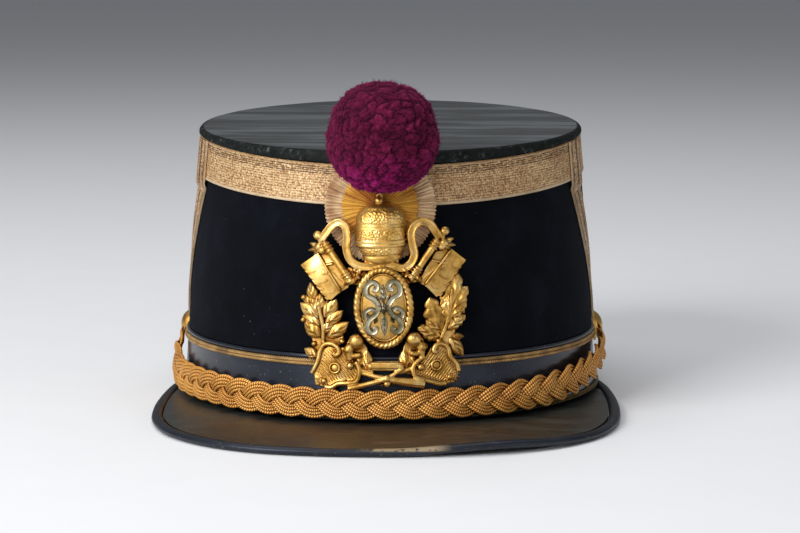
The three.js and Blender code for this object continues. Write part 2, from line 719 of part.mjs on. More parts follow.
function badgeHalf(side) {
  const across = (u, v, w) => flat(-side * u, v, w);
  const ribbonRows = [
    { u: -4.8, v: 16.6, w: 1.6 },
    { u: -8.6, v: 14.0, w: 1.6 },
    { u: -12.4, v: 18.4, w: 1.6 },
    { u: -12.0, v: 26.4, w: 1.6 },
    { u: -14.0, v: 31.0, w: 1.6 },
    { u: -17.4, v: 32.2, w: 1.6 },
    { u: -20.2, v: 28.9, w: 1.6 },
    { u: -20.8, v: 25.0, w: 1.6 },
  ].map((row) => ({ ...row, u: -side * row.u }));
  const rimRows = [
    { u: -16.6, v: -16.6, w: 1.9 },
    { u: -18.0, v: -13.6, w: 1.9 },
    { u: -22.2, v: -13.6, w: 1.9 },
    { u: -24.2, v: -19.0, w: 1.9 },
    { u: -25.2, v: -24.6, w: 1.9 },
  ].map((row) => ({ ...row, u: -side * row.u }));
  const staffTop = across(-22.2, 26.0, 1.6);
  const staffBottom = across(-12.4, 11.0, 1.6);
  const collar = (share, length) => {
    const start = staffTop.clone().lerp(staffBottom, share);
    return rod(start, staffTop.clone().lerp(staffBottom, share + length), 1.9, 6);
  };
  return [
    ribbon(ribbonRows, 1.4, 10, 4),
    rod(staffTop, staffBottom, 1.4, 6),
    collar(0.16, 0.08),
    knob(...across(-23.3, 27.7, 1.6).toArray(), 2.0),
    leaf({ baseU: side * 22.6, baseV: 25.0, tipU: side * 27.2, tipV: 22.6, width: 2.8 }),
    banner(side),
    plate([
      { u: side * 5.0, v: 14.6 },
      { u: side * 14.2, v: 15.4 },
      { u: side * 13.6, v: 8.0 },
      { u: side * 7.4, v: 8.6 },
    ], 1.4),
    knob(...across(-10.0, -12.4, 1.8).toArray(), 2.8),
    rod(across(-10.4, -12.6, 1.4), across(-5.0, -13.2, 1.4), 1.2),
    rod(across(-11.0, -13.0, 1.2), across(-12.4, -18.0, 1.2), 1.3),
    leaf({ baseU: side * 9.8, baseV: -22.6, tipU: side * 6.6, tipV: -17.0, width: 3.4 }),
    rod(across(-9.2, -22.0, 1.4), across(-3.2, -21.2, 1.4), 1.2),
    scrollPlate(side),
    ribbon(rimRows, 0.9, 5, 4),
    knob(...across(-18.2, -21.6, 1.0).toArray(), 1.9),
  ];
}

function badge() {
  const stem = (rows) => ribbon(rows.map(([u, v]) => ({ u, v, w: 1.2 })), 1.0, 6);
  const halves = [...badgeHalf(-1), ...badgeHalf(1)];
  const pieces = [
    ovalShield(),
    ...shieldScrolls(),
    domedCap(),
    knob(-0.8, 39.4, 1.3, 1.8),
    plate([{ u: -6, v: 13 }, { u: 4.6, v: 13 }, { u: 4.6, v: 19 }, { u: -6, v: 19 }], 2.2),
    ...halves,
    ...LEFT_LEAVES.map(leaf),
    ...RIGHT_LEAVES.map(leaf),
    stem([[-20.8, -13.6], [-23.4, -6.0], [-25.0, 3.0]]),
    stem([[21.6, -13.6], [23.6, -6.0], [25.0, 3.6]]),
    rod(flat(-4.4, -21.2, 1.8), flat(5.0, -21.2, 1.8), 1.7),
    rod(flat(-13.6, -28.2, 2.0), flat(7.4, -21.6, 2.0), 1.0),
    rod(flat(13.0, -27.6, 2.0), flat(-7.0, -22.6, 2.0), 1.2),
    knob(1.0, -25.2, 2.0, 1.9),
  ];
  const wide = new THREE.BoxGeometry(90, 100, 20).translate(0, 0, -10);
  const face = fused(pieces).subtract(toSolid(wide));
  const lean = radians(BADGE.lean);
  return moved(fromSolid(face), (corner) => {
    const x = BADGE.x + corner.x * Math.cos(lean) - corner.y * Math.sin(lean);
    const height = BADGE.height + corner.x * Math.sin(lean) + corner.y * Math.cos(lean);
    const share = smoothstep(height, BADGE_STEP.from, BADGE_STEP.to);
    return onFront(x, height, corner.z, lerp(BADGE.lowBack, BADGE.highBack, share));
  });
}

const finishes = {
  cloth: { color: "#14161c", roughness: 0.95, metalness: 0 },
  leather: { color: "#2b2d31", roughness: 0.4, metalness: 0 },
  bandLeather: { color: "#3c424d", roughness: 0.3, metalness: 0 },
  peakLeather: { color: "#34302d", roughness: 0.4, metalness: 0 },
  lace: { color: "#b8935a", roughness: 0.55, metalness: 0.5 },
  cord: { color: "#9a7a3c", roughness: 0.55, metalness: 0.4 },
  plait: { color: "#c8873a", roughness: 0.5, metalness: 0.4 },
  gilt: { color: "#c79a3d", roughness: 0.35, metalness: 1 },
  cockade: { color: "#cf9a3c", roughness: 0.7, metalness: 0.1 },
  wool: { color: "#7a2050", roughness: 0.95, metalness: 0 },
  wire: { color: "#55565a", roughness: 0.5, metalness: 0.8 },
};

const pieces = [
  ["crown_body", crownBody(), finishes.cloth],
  ["crown_top", crownTop(), finishes.leather],
  ["lace_band", laceBand(), finishes.lace],
  ["side_lace_left", sideLace(-1), finishes.lace],
  ["side_lace_right", sideLace(1), finishes.lace],
  ["leather_band", leatherBand(), finishes.bandLeather],
  ["upper_cord", twinCord(UPPER_CORD), finishes.cord],
  ["base_cord", twinCord(BASE_CORD), finishes.cord],
  ["peak", peak(), finishes.peakLeather],
  ["peak_binding", peakBinding(), finishes.leather],
  ["chin_plait", chinPlait(), finishes.plait],
  ["button_left", sideButton(-1), finishes.gilt],
  ["button_right", sideButton(1), finishes.gilt],
  ["cockade", cockade(), finishes.cockade],
  ["pompom_tongue", pompomTongue(), finishes.wire],
  ["pompom", pompom(), finishes.wool],
  ["badge", badge(), finishes.gilt],
];

// The hat leans back to stand on its peak and the back of its rim, and the
// whole is set with the middle of its box's underside at the origin.
const kepi = new THREE.Group();
const hat = new THREE.Group();
hat.rotation.x = -radians(REST_TILT);
for (const [name, geometry, finish] of pieces) {
  const mesh = new THREE.Mesh(geometry, new THREE.MeshStandardMaterial(finish));
  mesh.name = name;
  hat.add(mesh);
}
kepi.add(hat);
kepi.updateMatrixWorld(true);
const box = new THREE.Box3().setFromObject(kepi, true);
const middle = box.getCenter(new THREE.Vector3());
hat.position.set(-middle.x, -middle.y, -box.min.z);

export default kepi;
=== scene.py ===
# %% [markdown]
# A parade kepi. This lesson dresses a measured model of a hat: every solid of the model already has
# its size and its place, and here each one gets the surface that the real piece has. The model is
# loaded first, and nothing in it is moved. All lengths in Blender are metres, but a hat is easier to
# think of in millimetres, so the tables below are in millimetres and one function changes them.

# %% Load the measured model
import math

import bpy
import numpy as np
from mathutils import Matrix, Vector


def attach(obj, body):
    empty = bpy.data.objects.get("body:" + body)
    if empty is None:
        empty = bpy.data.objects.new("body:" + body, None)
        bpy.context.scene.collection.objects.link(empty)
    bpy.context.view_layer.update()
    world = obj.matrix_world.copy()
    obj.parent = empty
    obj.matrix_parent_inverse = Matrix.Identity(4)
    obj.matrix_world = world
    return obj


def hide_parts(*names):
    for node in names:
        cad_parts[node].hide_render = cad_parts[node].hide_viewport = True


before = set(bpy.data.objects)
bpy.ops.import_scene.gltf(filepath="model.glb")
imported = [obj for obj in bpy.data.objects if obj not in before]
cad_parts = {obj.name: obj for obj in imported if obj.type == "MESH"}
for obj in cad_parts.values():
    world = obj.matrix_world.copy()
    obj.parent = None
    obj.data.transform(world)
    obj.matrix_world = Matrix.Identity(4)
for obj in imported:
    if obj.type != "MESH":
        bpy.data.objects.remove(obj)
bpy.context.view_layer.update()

MM = 0.001
TURN = 2 * math.pi
print("nodes:", sorted(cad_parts))

# %% [markdown]
# The camera stands where the photograph was taken from: a metre in front of the hat, a little to the
# right and a little above, with a long lens that keeps the ovals flat. It comes first, so that every
# later step can be looked at through it.

# %% Camera
CAMERA_PLACE = Vector((0.02703, -1.01947, 0.18522))
CAMERA_TARGET = Vector((0.003794, 0.021373, 0.048797))
LENS, SENSOR_WIDTH = 117.13, 36.0

camera = bpy.data.objects.new("camera", bpy.data.cameras.new("camera"))
bpy.context.scene.collection.objects.link(camera)
camera.location = CAMERA_PLACE
camera.rotation_euler = (CAMERA_TARGET - CAMERA_PLACE).to_track_quat("-Z", "Y").to_euler()
camera.data.lens, camera.data.sensor_width = LENS, SENSOR_WIDTH
bpy.context.scene.camera = camera
print("camera distance:", round((CAMERA_TARGET - CAMERA_PLACE).length, 3), "m")

# %% [markdown]
# The hat's shape is one rule. At each height the body is an oval, and a point on the side is given by
# its angle round the hat (0 at the front), its height above the rim and how far it stands out from
# the cloth. Every piece that lies on the hat uses this rule, so all of them follow the same form.
# The hat then leans back a little, because it stands on its peak and on the back of its rim.

# %% The form of the hat
RIM_HALF_WIDTH, RIM_HALF_LENGTH = 82.7, 101.6
TOP_HALF_WIDTH, TOP_HALF_LENGTH = 74.6, 88.1
TOP_FORWARD = 1.1
CROWN_HEIGHT = 104.4
TOP_SLOPE = 0.061
SIDE_BULGE = 0.4
GAP = 0.3
REST_TILT = math.radians(1.16)
HAT_SHIFT = np.array([0.0, 21.3727, 2.1419])


def oval_at(height):
    rise = height / CROWN_HEIGHT
    bulge = 4 * SIDE_BULGE * rise * (1 - rise)
    half_width = RIM_HALF_WIDTH + (TOP_HALF_WIDTH - RIM_HALF_WIDTH) * rise + bulge
    half_length = RIM_HALF_LENGTH + (TOP_HALF_LENGTH - RIM_HALF_LENGTH) * rise + bulge
    return half_width, half_length, -TOP_FORWARD * rise


def on_side(angle, height, out):
    angle, height, out = np.broadcast_arrays(angle, height, out)
    half_width, half_length, centre_y = oval_at(height)
    x = (half_width + out) * np.sin(angle)
    y = centre_y - (half_length + out) * np.cos(angle)
    return np.stack([x, y, height], axis=-1)


def on_front(x, height, out, back):
    half_width = oval_at(height)[0]
    angle = np.arcsin(np.clip(x / (half_width + back), -0.999, 0.999))
    return on_side(angle, height, back + out)


def top_height(angle):
    return CROWN_HEIGHT - TOP_SLOPE * TOP_HALF_LENGTH * np.cos(angle)


def settled(points):
    """Turns hat points in millimetres into places in the scene, in metres."""
    x, y, z = np.moveaxis(np.asarray(points, float), -1, 0)
    cos, sin = math.cos(REST_TILT), math.sin(REST_TILT)
    leaning = np.stack([x, cos * y + sin * z, cos * z - sin * y], axis=-1)
    return (leaning + HAT_SHIFT) * MM


front = settled(on_side(0.0, 50.0, 0.0))
print("front of the cloth at half height:", np.round(front, 4))

# %% [markdown]
# A few helpers do the repeated work. One deselects everything, because an operator acts on all that
# is selected. One starts a piece from a grid and keeps the grid's own unwrapping, which later tells a
# woven pattern which way the threads run. One moves the grid's points by a rule, as a maker bends a
# flat strip round a block. One finishes the mesh: it closes the seam and turns the faces outwards.

# %% Helpers for pieces
def nothing_selected():
    if bpy.context.object and bpy.context.object.mode != "OBJECT":
        bpy.ops.object.mode_set(mode="OBJECT")
    bpy.ops.object.select_all(action="DESELECT")


def only(piece):
    nothing_selected()
    piece.select_set(True)
    bpy.context.view_layer.objects.active = piece


def open_for_edits(piece):
    only(piece)
    bpy.ops.object.mode_set(mode="EDIT")
    bpy.ops.mesh.select_all(action="SELECT")


def finish_mesh(piece, smooth_angle, same_point=1e-6, no_area=1e-7):
    """Joins points that lie together, drops faces with no area, and turns all faces outwards."""
    open_for_edits(piece)
    bpy.ops.mesh.remove_doubles(threshold=same_point)
    if no_area:
        bpy.ops.mesh.dissolve_degenerate(threshold=no_area)
    bpy.ops.mesh.normals_make_consistent(inside=False)
    bpy.ops.object.mode_set(mode="OBJECT")
    bpy.ops.object.shade_smooth_by_angle(angle=math.radians(smooth_angle))
    return piece


def move_points(piece, rule):
    """Moves every point of a mesh by a rule that takes and gives arrays of points."""
    mesh = piece.data
    flat = np.empty(len(mesh.vertices) * 3)
    mesh.vertices.foreach_get("co", flat)
    placed = np.ascontiguousarray(rule(flat.reshape(-1, 3)), dtype=float)
    mesh.vertices.foreach_set("co", placed.ravel())
    mesh.update()
    return piece


def grid(name, columns, rows, rule):
    """A grid of columns by rows, laid out by a rule of its two shares (0 to 1)."""
    nothing_selected()
    bpy.ops.mesh.primitive_grid_add(x_subdivisions=columns, y_subdivisions=rows, size=1)
    piece = bpy.context.object
    piece.name = name
    return move_points(piece, lambda flat: rule(flat[:, 0] + 0.5, flat[:, 1] + 0.5))


def strip(name, columns, rows, rule, smooth_angle=50):
    """A grid whose rule gives hat points in millimetres, put in its place in the scene."""
    piece = grid(name, columns, rows, lambda along, across: settled(rule(along, across)))
    return finish_mesh(piece, smooth_angle)


def picked(rows, share):
    """The columns of a table, read at the rows that lie nearest to the given shares of its length."""
    return rows[np.rint(share * (len(rows) - 1)).astype(int)].T


def turned(name, profile, columns, height_rule=None):
    """A closed ring round the hat, from a profile of rows of how far out and how high."""
    rows = np.array(profile + profile[:1], float)

    def rule(around, along):
        angle = (2 * around - 1) * math.pi
        out, level = picked(rows, along)
        height = height_rule(level, angle) if height_rule else level
        return on_side(angle, height, out)

    return strip(name, columns, len(rows) - 1, rule)


def arc(centre_out, centre_level, radius_out, radius_level, start, end, steps):
    """Profile rows on an arc, with the angles in degrees from straight out."""
    turns = np.radians(np.linspace(start, end, steps + 1))
    return [
        [centre_out + radius_out * math.cos(turn), centre_level + radius_level * math.sin(turn)]
        for turn in turns
    ]


def joined(name, pieces):
    nothing_selected()
    for piece in pieces:
        piece.select_set(True)
    bpy.context.view_layer.objects.active = pieces[0]
    bpy.ops.object.join()
    piece = bpy.context.object
    piece.name = name
    return piece


def dress(piece, material, slot, *nodes):
    """Gives a piece its finish, its body and the model's nodes that it stands for."""
    piece.data.materials.clear()
    piece.data.materials.append(material)
    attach(piece, "root")
    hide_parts(*nodes)
    print(piece.name, "has", len(piece.data.polygons), "faces")


# %% [markdown]
# Colours are written as a painter reads them from a screen, as hex values, and one function turns
# them into the linear light that a shader needs. Another adds any node with its settings and links.
# Sockets without a name of their own go by number. A Mix of colours takes its share at 0 and the two
# colours at 6 and 7, and gives the result at 2. A MapRange takes its value at 0, the range that comes
# in at 1 and 2, and the range that goes out at 3 and 4. A Math takes its numbers at 0, 1 and 2.

# %% Helpers for materials
def colour(code):
    shares = [int(code[i:i + 2], 16) / 255 for i in (1, 3, 5)]
    linear = [s / 12.92 if s <= 0.04045 else ((s + 0.055) / 1.055) ** 2.4 for s in shares]
    return (*linear, 1.0)


def add(tree, kind, inputs=None, out=0, stops=(), **settings):
    """Adds a node with its settings, its inputs and a ramp's stops, and gives one of its outputs."""
    node = tree.nodes.new("ShaderNode" + kind)
    for name, value in settings.items():
        setattr(node, name, value)
    for socket, value in (inputs or {}).items():
        if isinstance(value, bpy.types.NodeSocket):
            tree.links.new(value, node.inputs[socket])
        else:
            node.inputs[socket].default_value = value
    for step, (place, code) in enumerate(stops):
        elements = node.color_ramp.elements
        element = elements[step] if step < len(elements) else elements.new(place)
        element.position, element.color = place, colour(code)
    return node.outputs[out]


MULTIPLY = {"data_type": "RGBA", "blend_type": "MULTIPLY"}
BLEND = {"data_type": "RGBA", "blend_type": "MIX"}


def new_material(name, **shader_values):
    """A material, its tree, its shader with constants on its sockets, and the place on the piece."""
    material = bpy.data.materials.new(name)
    material.use_nodes = True
    shader = material.node_tree.nodes["Principled BSDF"]
    for socket, value in shader_values.items():
        shader.inputs[socket.replace("_", " ")].default_value = value
    tree = material.node_tree
    return material, tree, shader, add(tree, "TexCoord", out="Object")


def worn_in_patches(tree, place, base, scale, detail, stops, share):
    """Darkens a colour in soft patches, as dirt and fading do."""
    patches = add(tree, "TexNoise", {"Vector": place, "Scale": scale, "Detail": detail})
    tint = add(tree, "ValToRGB", {"Fac": patches}, stops=stops)
    return add(tree, "Mix", {0: share, 6: base, 7: tint}, 2, **MULTIPLY)


def ridges(tree, count):
    """One round ridge for each whole number that the count runs through."""
    turning = add(tree, "Math", {0: count, 1: TURN}, operation="MULTIPLY")
    wave = add(tree, "Math", {0: turning}, operation="SINE")
    return add(tree, "MapRange", {0: wave, 1: -1.0, 2: 1.0})


def wire(tree, shader, **outputs):
    for socket, output in outputs.items():
        tree.links.new(output, shader.inputs[socket.replace("_", " ")])


# %% [markdown]
# The body is milled wool cloth, a dense black felt with a trace of blue. It hardly shines, but its
# short fibres catch light at a grazing angle, which is what the sheen gives. A few pale bits of lint
# keep it from looking painted.

# %% Milled wool cloth
def milled_wool_cloth():
    """Matte felted wool: almost no gloss, because the fibres hide each other from the light."""
    material, tree, shader, place = new_material(
        "milled wool cloth", Roughness=0.95, Specular_IOR_Level=0.08, Sheen_Weight=0.04,
        Sheen_Roughness=0.5, Sheen_Tint=colour("#8088a0"))
    mottled = add(tree, "TexNoise", {"Vector": place, "Scale": 60, "Detail": 5, "Roughness": 0.6})
    base = add(tree, "ValToRGB", {"Fac": mottled},
               stops=[(0.3, "#040508"), (0.55, "#080a10"), (0.75, "#0f131c")])
    lint = add(tree, "TexVoronoi", {"Vector": place, "Scale": 260}, "Distance")
    speck = add(tree, "ValToRGB", {"Fac": lint}, stops=[(0.05, "#ffffff"), (0.13, "#000000")])
    where = add(tree, "TexNoise", {"Vector": place, "Scale": 35, "Detail": 2})
    rare = add(tree, "ValToRGB", {"Fac": where}, stops=[(0.6, "#000000"), (0.68, "#ffffff")])
    amount = add(tree, "Mix", {0: 1.0, 6: speck, 7: rare}, 2, **MULTIPLY)
    linted = add(tree, "Mix", {0: amount, 6: base, 7: colour("#3a3d45")}, 2, **BLEND)
    fibre = add(tree, "TexNoise", {"Vector": place, "Scale": 1400, "Detail": 3, "Roughness": 0.7})
    nap = add(tree, "TexNoise", {"Vector": place, "Scale": 380, "Detail": 2})
    height = add(tree, "Math", {0: fibre, 1: nap}, operation="ADD")
    rough = add(tree, "Bump", {"Height": height, "Distance": 0.25 * MM, "Strength": 0.6})
    wire(tree, shader, Base_Color=linted, Normal=rough)
    return material


cloth = milled_wool_cloth()
print("made", cloth.name)

# %% [markdown]
# The cloth body is a tube with a wall 3 mm thick, cut back at the bottom for the leather band. Its
# upper edge follows the slope of the hat's top.

# %% Cloth body
CLOTH_WALL = 3.0
TOP_LEATHER = 2.0
BAND_TOP = 24.3
BAND_THICKNESS = 1.0
LEVEL_BELOW = 50.0


def cloth_body():
    """A tube with a recess for the leather band, whose upper edge slopes with the hat's top."""
    under_top = CROWN_HEIGHT - TOP_LEATHER - GAP
    recess = -BAND_THICKNESS - GAP
    outer = [[0.0, level] for level in np.linspace(BAND_TOP + GAP, under_top, 30)]
    inner = [[-CLOTH_WALL, level] for level in np.linspace(under_top, 0.0, 12)]
    profile = [[recess, 0.0], [recess, BAND_TOP + GAP]] + outer + inner

    def sloping(level, angle):
        share = np.clip((level - LEVEL_BELOW) / (under_top - LEVEL_BELOW), 0, 1)
        return level + share * (top_height(angle) - CROWN_HEIGHT)

    return turned("cloth_body", profile, 256, sloping)


dress(cloth_body(), cloth, "cloth", "crown_body")

# %% [markdown]
# The top is one disc of polished black leather, pulled over a board and turned down over the edge.
# Old leather shrinks in long shallow wrinkles across the hat, and they show only as streaks in the
# reflection, so they are real waves in the mesh and the finer grain is a bump. The same streaks are
# also painted into the flat's colour as a grey painted reflection.

# %% Polished top leather
def polished_leather():
    """Oiled calf, polished hard on the flat, whose colour is partly its own black and partly a painted
    reflection in grey streaks. The turned-down edge is left dark, dull and dirty.
    """
    material, tree, shader, place = new_material("polished black leather", Coat_Roughness=0.3)
    across = add(tree, "Mapping", {"Vector": place, "Scale": (0.1, 1.0, 1.0)})
    streaks = add(tree, "TexNoise", {"Vector": across, "Scale": 240, "Detail": 5, "Roughness": 0.68})
    broad = add(tree, "TexNoise", {"Vector": across, "Scale": 75, "Detail": 2})
    both = add(tree, "Math", {0: streaks, 1: broad}, operation="ADD")
    wrinkle_and_reflection_streaks = add(tree, "MapRange", {0: both, 1: 0.72, 2: 1.28})
    # The grey of the flat is a painted reflection of the room, in streaks that follow the wrinkles
    base = add(tree, "ValToRGB", {"Fac": wrinkle_and_reflection_streaks},
               stops=[(0.1, "#121413"), (0.4, "#2a2d2d"), (0.75, "#53575a")])
    rough = add(tree, "MapRange", {0: wrinkle_and_reflection_streaks, 1: 0.1, 2: 0.8, 3: 0.26, 4: 0.6})
    # The sheet's unwrapping runs from the middle outwards, and the edge turns down at three quarters
    outwards = add(tree, "SeparateXYZ", {0: add(tree, "TexCoord", out="UV")}, 1)
    flat = add(tree, "MapRange", {0: outwards, 1: 0.745, 2: 0.765, 3: 1.0, 4: 0.0})
    dirt_and_shade = add(tree, "TexNoise", {"Vector": place, "Scale": 420, "Detail": 4, "Roughness": 0.7})
    edge = add(tree, "ValToRGB", {"Fac": dirt_and_shade},
               stops=[(0.35, "#0a0b0b"), (0.6, "#1c201f"), (0.74, "#5a605c")])
    leather_colour = add(tree, "Mix", {0: flat, 6: edge, 7: base}, 2, **BLEND)
    gloss = add(tree, "MapRange", {0: flat, 3: 0.12, 4: 0.5})
    coat = add(tree, "MapRange", {0: flat, 3: 0.0, 4: 0.2})
    dull = add(tree, "Mix", {0: flat, 2: 0.7, 3: rough})
    grain = add(tree, "TexVoronoi", {"Vector": place, "Scale": 900}, "Distance")
    pores = add(tree, "Bump", {"Height": grain, "Distance": 0.05 * MM, "Strength": 0.35})
    folds = add(tree, "Bump", {"Height": streaks, "Distance": 0.35 * MM, "Strength": 0.6,
                               "Normal": pores})
    wire(tree, shader, Base_Color=leather_colour, Roughness=dull, Specular_IOR_Level=gloss,
         Coat_Weight=coat, Normal=folds)
    return material


leather = polished_leather()
print("made", leather.name)

# %% [markdown]
# The disc is one strip of faces that runs round the hat. Its section goes from the middle out, over
# the edge, down the skirt and back under, so a short table of rows describes the whole piece.

# %% Leather top
SKIRT_OUT = 1.5
SKIRT_AT_SIDES, SKIRT_DEEPER = 2.2, 2.6
EDGE_OUT, EDGE_DROP = 1.6, 1.7
WRINKLE_DEPTH = 0.13


def skirt_depth(angle):
    """The turned-down edge is deepest in front and behind."""
    return SKIRT_AT_SIDES + SKIRT_DEEPER * np.cos(angle) ** 2


def leather_top():
    """Its section from the middle out and back under, in rows of reach, out, drop and skirt."""
    rows = [[reach, 0.0, 0.0, 0.0] for reach in np.linspace(0, 0.985, 40)]
    for turn in np.radians(np.linspace(90, 0, 7)):
        out = SKIRT_OUT - EDGE_OUT * (1 - math.cos(turn))
        rows.append([1.0, out, EDGE_DROP * (1 - math.sin(turn)), 0.0])
    rows += [[1.0, SKIRT_OUT, 0.0, 0.55], [1.0, SKIRT_OUT, 0.0, 0.94]]
    rows += [[1.0, SKIRT_OUT - 0.35, 0.0, 1.0], [1.0, GAP, 0.0, 1.0], [1.0, GAP, TOP_LEATHER, 0.0]]
    rows += [[0.5, 0.0, TOP_LEATHER, 0.0], [0.0, 0.0, TOP_LEATHER, 0.0]]
    rows = np.array(rows)

    def rule(around, along):
        angle = (2 * around - 1) * math.pi
        reach, out, drop, skirt = picked(rows, along)
        down = drop + skirt * np.maximum(skirt_depth(angle), TOP_LEATHER)
        edge = on_side(angle, top_height(angle) - down, out)
        middle = np.stack([0 * down, 0 * down - TOP_FORWARD, CROWN_HEIGHT - down], axis=-1)
        place = middle + (edge - middle) * reach[:, None]
        x, y = place[:, 0], place[:, 1]
        waves = np.sin(y / 5.5 + 1.3 * np.sin(x / 34))
        waves = waves + 0.7 * np.sin(y / 2.9 + 0.8 * np.sin(x / 21 + 2))
        fade = np.where(drop > 1.8, 0.0, np.clip(1.04 - reach, 0, 1) ** 0.5)
        place[:, 2] += WRINKLE_DEPTH * waves * fade
        return place

    return strip("leather_top", 256, len(rows) - 1, rule, 60)


dress(leather_top(), leather, "top_leather", "crown_top")

# %% [markdown]
# The lace is woven from gilt metal thread, flattened and wound round silk. It reads as a basket
# weave: small blocks of bright thread going over and under, with dark specks of silk between, and a
# plain cord along each edge. Each block is painted lighter in its middle and darker at its edges, as
# painted highlight and painted shade. The pattern follows the band, so it reads the band's own
# unwrapping, and its scale comes from the real spacing of the threads, about 1 mm.

# %% Woven gilt lace
THREAD = 1.0
LACE_GOLD = [(0.22, "#755434"), (0.4, "#a68054"), (0.58, "#c9a473"), (0.8, "#e6cba0")]


def gilt_lace(name, length, width, dashes, selvedge, rows):
    """Flattened metal thread over a silk ground, dulled by age: soft gold, with painted highlights as
    bright specks and painted shade between the blocks.

    Across the lace, dashes and selvedge say from where to where the rows of dark silk stitches
    and the plain pale edge lie, as shares of the unwrapping."""
    material, tree, shader, place = new_material(name, Roughness=0.55, Metallic=0.2)
    uv = add(tree, "TexCoord", out="UV")
    weave = add(tree, "Mapping", {"Vector": uv, "Scale": (length / THREAD, width / THREAD, 1.0)})
    wander = add(tree, "TexNoise", {"Vector": weave, "Scale": 0.4, "Detail": 3}, "Color")
    push = add(tree, "VectorMath", {0: wander, "Scale": 1.3}, operation="SCALE")
    bent = add(tree, "VectorMath", {0: weave, 1: push}, operation="ADD")
    blocks = add(tree, "TexVoronoi", {"Vector": bent, "Scale": 1.15, "Randomness": 0.6}, "Distance")
    shade = add(tree, "TexNoise", {"Vector": bent, "Scale": 1.3, "Detail": 4, "Roughness": 0.75})
    picks = add(tree, "TexWave", {"Vector": weave, "Scale": 0.32, "Distortion": 3.0, "Detail": 2},
                bands_direction="Y")
    # The blocks' height is also their colour: painted highlight on their middles, painted shade at
    # their edges
    height = add(tree, "MapRange", {0: blocks, 1: 0.1, 2: 0.8, 3: 0.62, 4: 0.2})
    flecked = add(tree, "Math", {0: shade, 1: 0.75, 2: height}, operation="MULTIPLY_ADD")
    lit = add(tree, "Math", {0: picks, 1: 0.14, 2: flecked}, operation="MULTIPLY_ADD")
    level = add(tree, "MapRange", {0: lit, 1: 0.45, 2: 1.15})
    thread = add(tree, "ValToRGB", {"Fac": level}, stops=LACE_GOLD)
    across = add(tree, "SeparateXYZ", {0: uv}, 1)
    in_rows = add(tree, "MapRange", {0: across, 1: dashes[0], 2: dashes[1]}, clamp=False)
    turning = add(tree, "Math", {0: in_rows, 1: rows * TURN}, operation="MULTIPLY")
    wave = add(tree, "Math", {0: turning}, operation="COSINE")
    valley = add(tree, "MapRange", {0: wave, 1: 0.3, 2: -0.5})
    started = add(tree, "Math", {0: in_rows, 1: 0.0}, operation="GREATER_THAN")
    ended = add(tree, "Math", {0: in_rows, 1: 1.0}, operation="LESS_THAN")
    long_way = add(tree, "Mapping", {"Vector": uv, "Scale": (length / 2.0, width / 1.2, 1.0)})
    broken = add(tree, "TexNoise", {"Vector": long_way, "Scale": 1.0, "Detail": 3, "Roughness": 0.7})
    stitched = add(tree, "MapRange", {0: broken, 1: 0.42, 2: 0.5})
    inside = add(tree, "Math", {0: started, 1: ended}, operation="MULTIPLY")
    dashed = add(tree, "Math", {0: valley, 1: stitched}, operation="MULTIPLY")
    dark = add(tree, "Math", {0: dashed, 1: inside}, operation="MULTIPLY")
    stitches = add(tree, "Mix", {0: dark, 6: thread, 7: colour("#3c2510")}, 2, **BLEND)
    from_edge = add(tree, "MapRange", {0: across, 1: selvedge[0], 2: selvedge[1], 3: 0.75, 4: 0.0})
    edged = add(tree, "Mix", {0: from_edge, 6: stitches, 7: colour("#dcc6a6")}, 2, **BLEND)
    dull = add(tree, "TexNoise", {"Vector": place, "Scale": 60, "Detail": 4, "Roughness": 0.6})
    worn = add(tree, "ValToRGB", {"Fac": dull}, stops=[(0.3, "#c4ab8c"), (0.6, "#ffffff")])
    base = add(tree, "Mix", {0: 0.7, 6: edged, 7: worn}, 2, **MULTIPLY)
    rise = add(tree, "Bump", {"Height": lit, "Distance": 0.25 * MM, "Strength": 0.7})
    wire(tree, shader, Base_Color=base, Normal=rise)
    return material


# %% [markdown]
# The lace is sewn round the top as one flat band. Its weave is finer than a mesh needs to be, so the
# band is a plain thin section turned round the hat, and the material above draws the threads.

# %% Lace band
LACE_WIDTH = 15.0
LACE_THICKNESS = 0.7
LACE_EDGE = 0.7
LACE_ROUND = 520.0


def lace_band():
    """A flat band with rounded edges, which keeps just below the leather top's edge."""
    out = GAP + LACE_THICKNESS
    front = [[out, level] for level in np.linspace(0.9, LACE_WIDTH - 0.9, 12)]
    lower = arc(GAP + 0.3, LACE_EDGE, LACE_THICKNESS - 0.1, LACE_EDGE, -90, -10, 4)
    upper = arc(GAP + 0.3, LACE_WIDTH - LACE_EDGE, LACE_THICKNESS - 0.1, LACE_EDGE, 10, 90, 4)
    profile = [[GAP, 0.0]] + lower + front + upper + [[GAP, LACE_WIDTH]]

    def below_skirt(level, angle):
        return top_height(angle) - skirt_depth(angle) - GAP - LACE_WIDTH + level

    return turned("gold_lace", profile, 320, below_skirt)


band_lace = gilt_lace("woven gilt lace", LACE_ROUND, 2 * LACE_WIDTH, (0.6, 0.71), (0.23, 0.27), 4)
dress(lace_band(), band_lace, "lace", "lace_band")

# %% [markdown]
# On each side the same lace runs from the top down to the piping, slanting backwards. It is a strip
# with a wall, stepped out where it passes over the band.

# %% Side laces
SIDE_LACE_ACROSS = 8.9
SIDE_LACE_FRONT = {"height": [24, 50, 66, 82, 105], "angle": [92.0, 79.5, 72.5, 66.2, 66.0]}
SIDE_LACE_STEP = {"height": 80.8, "length": 1.8}


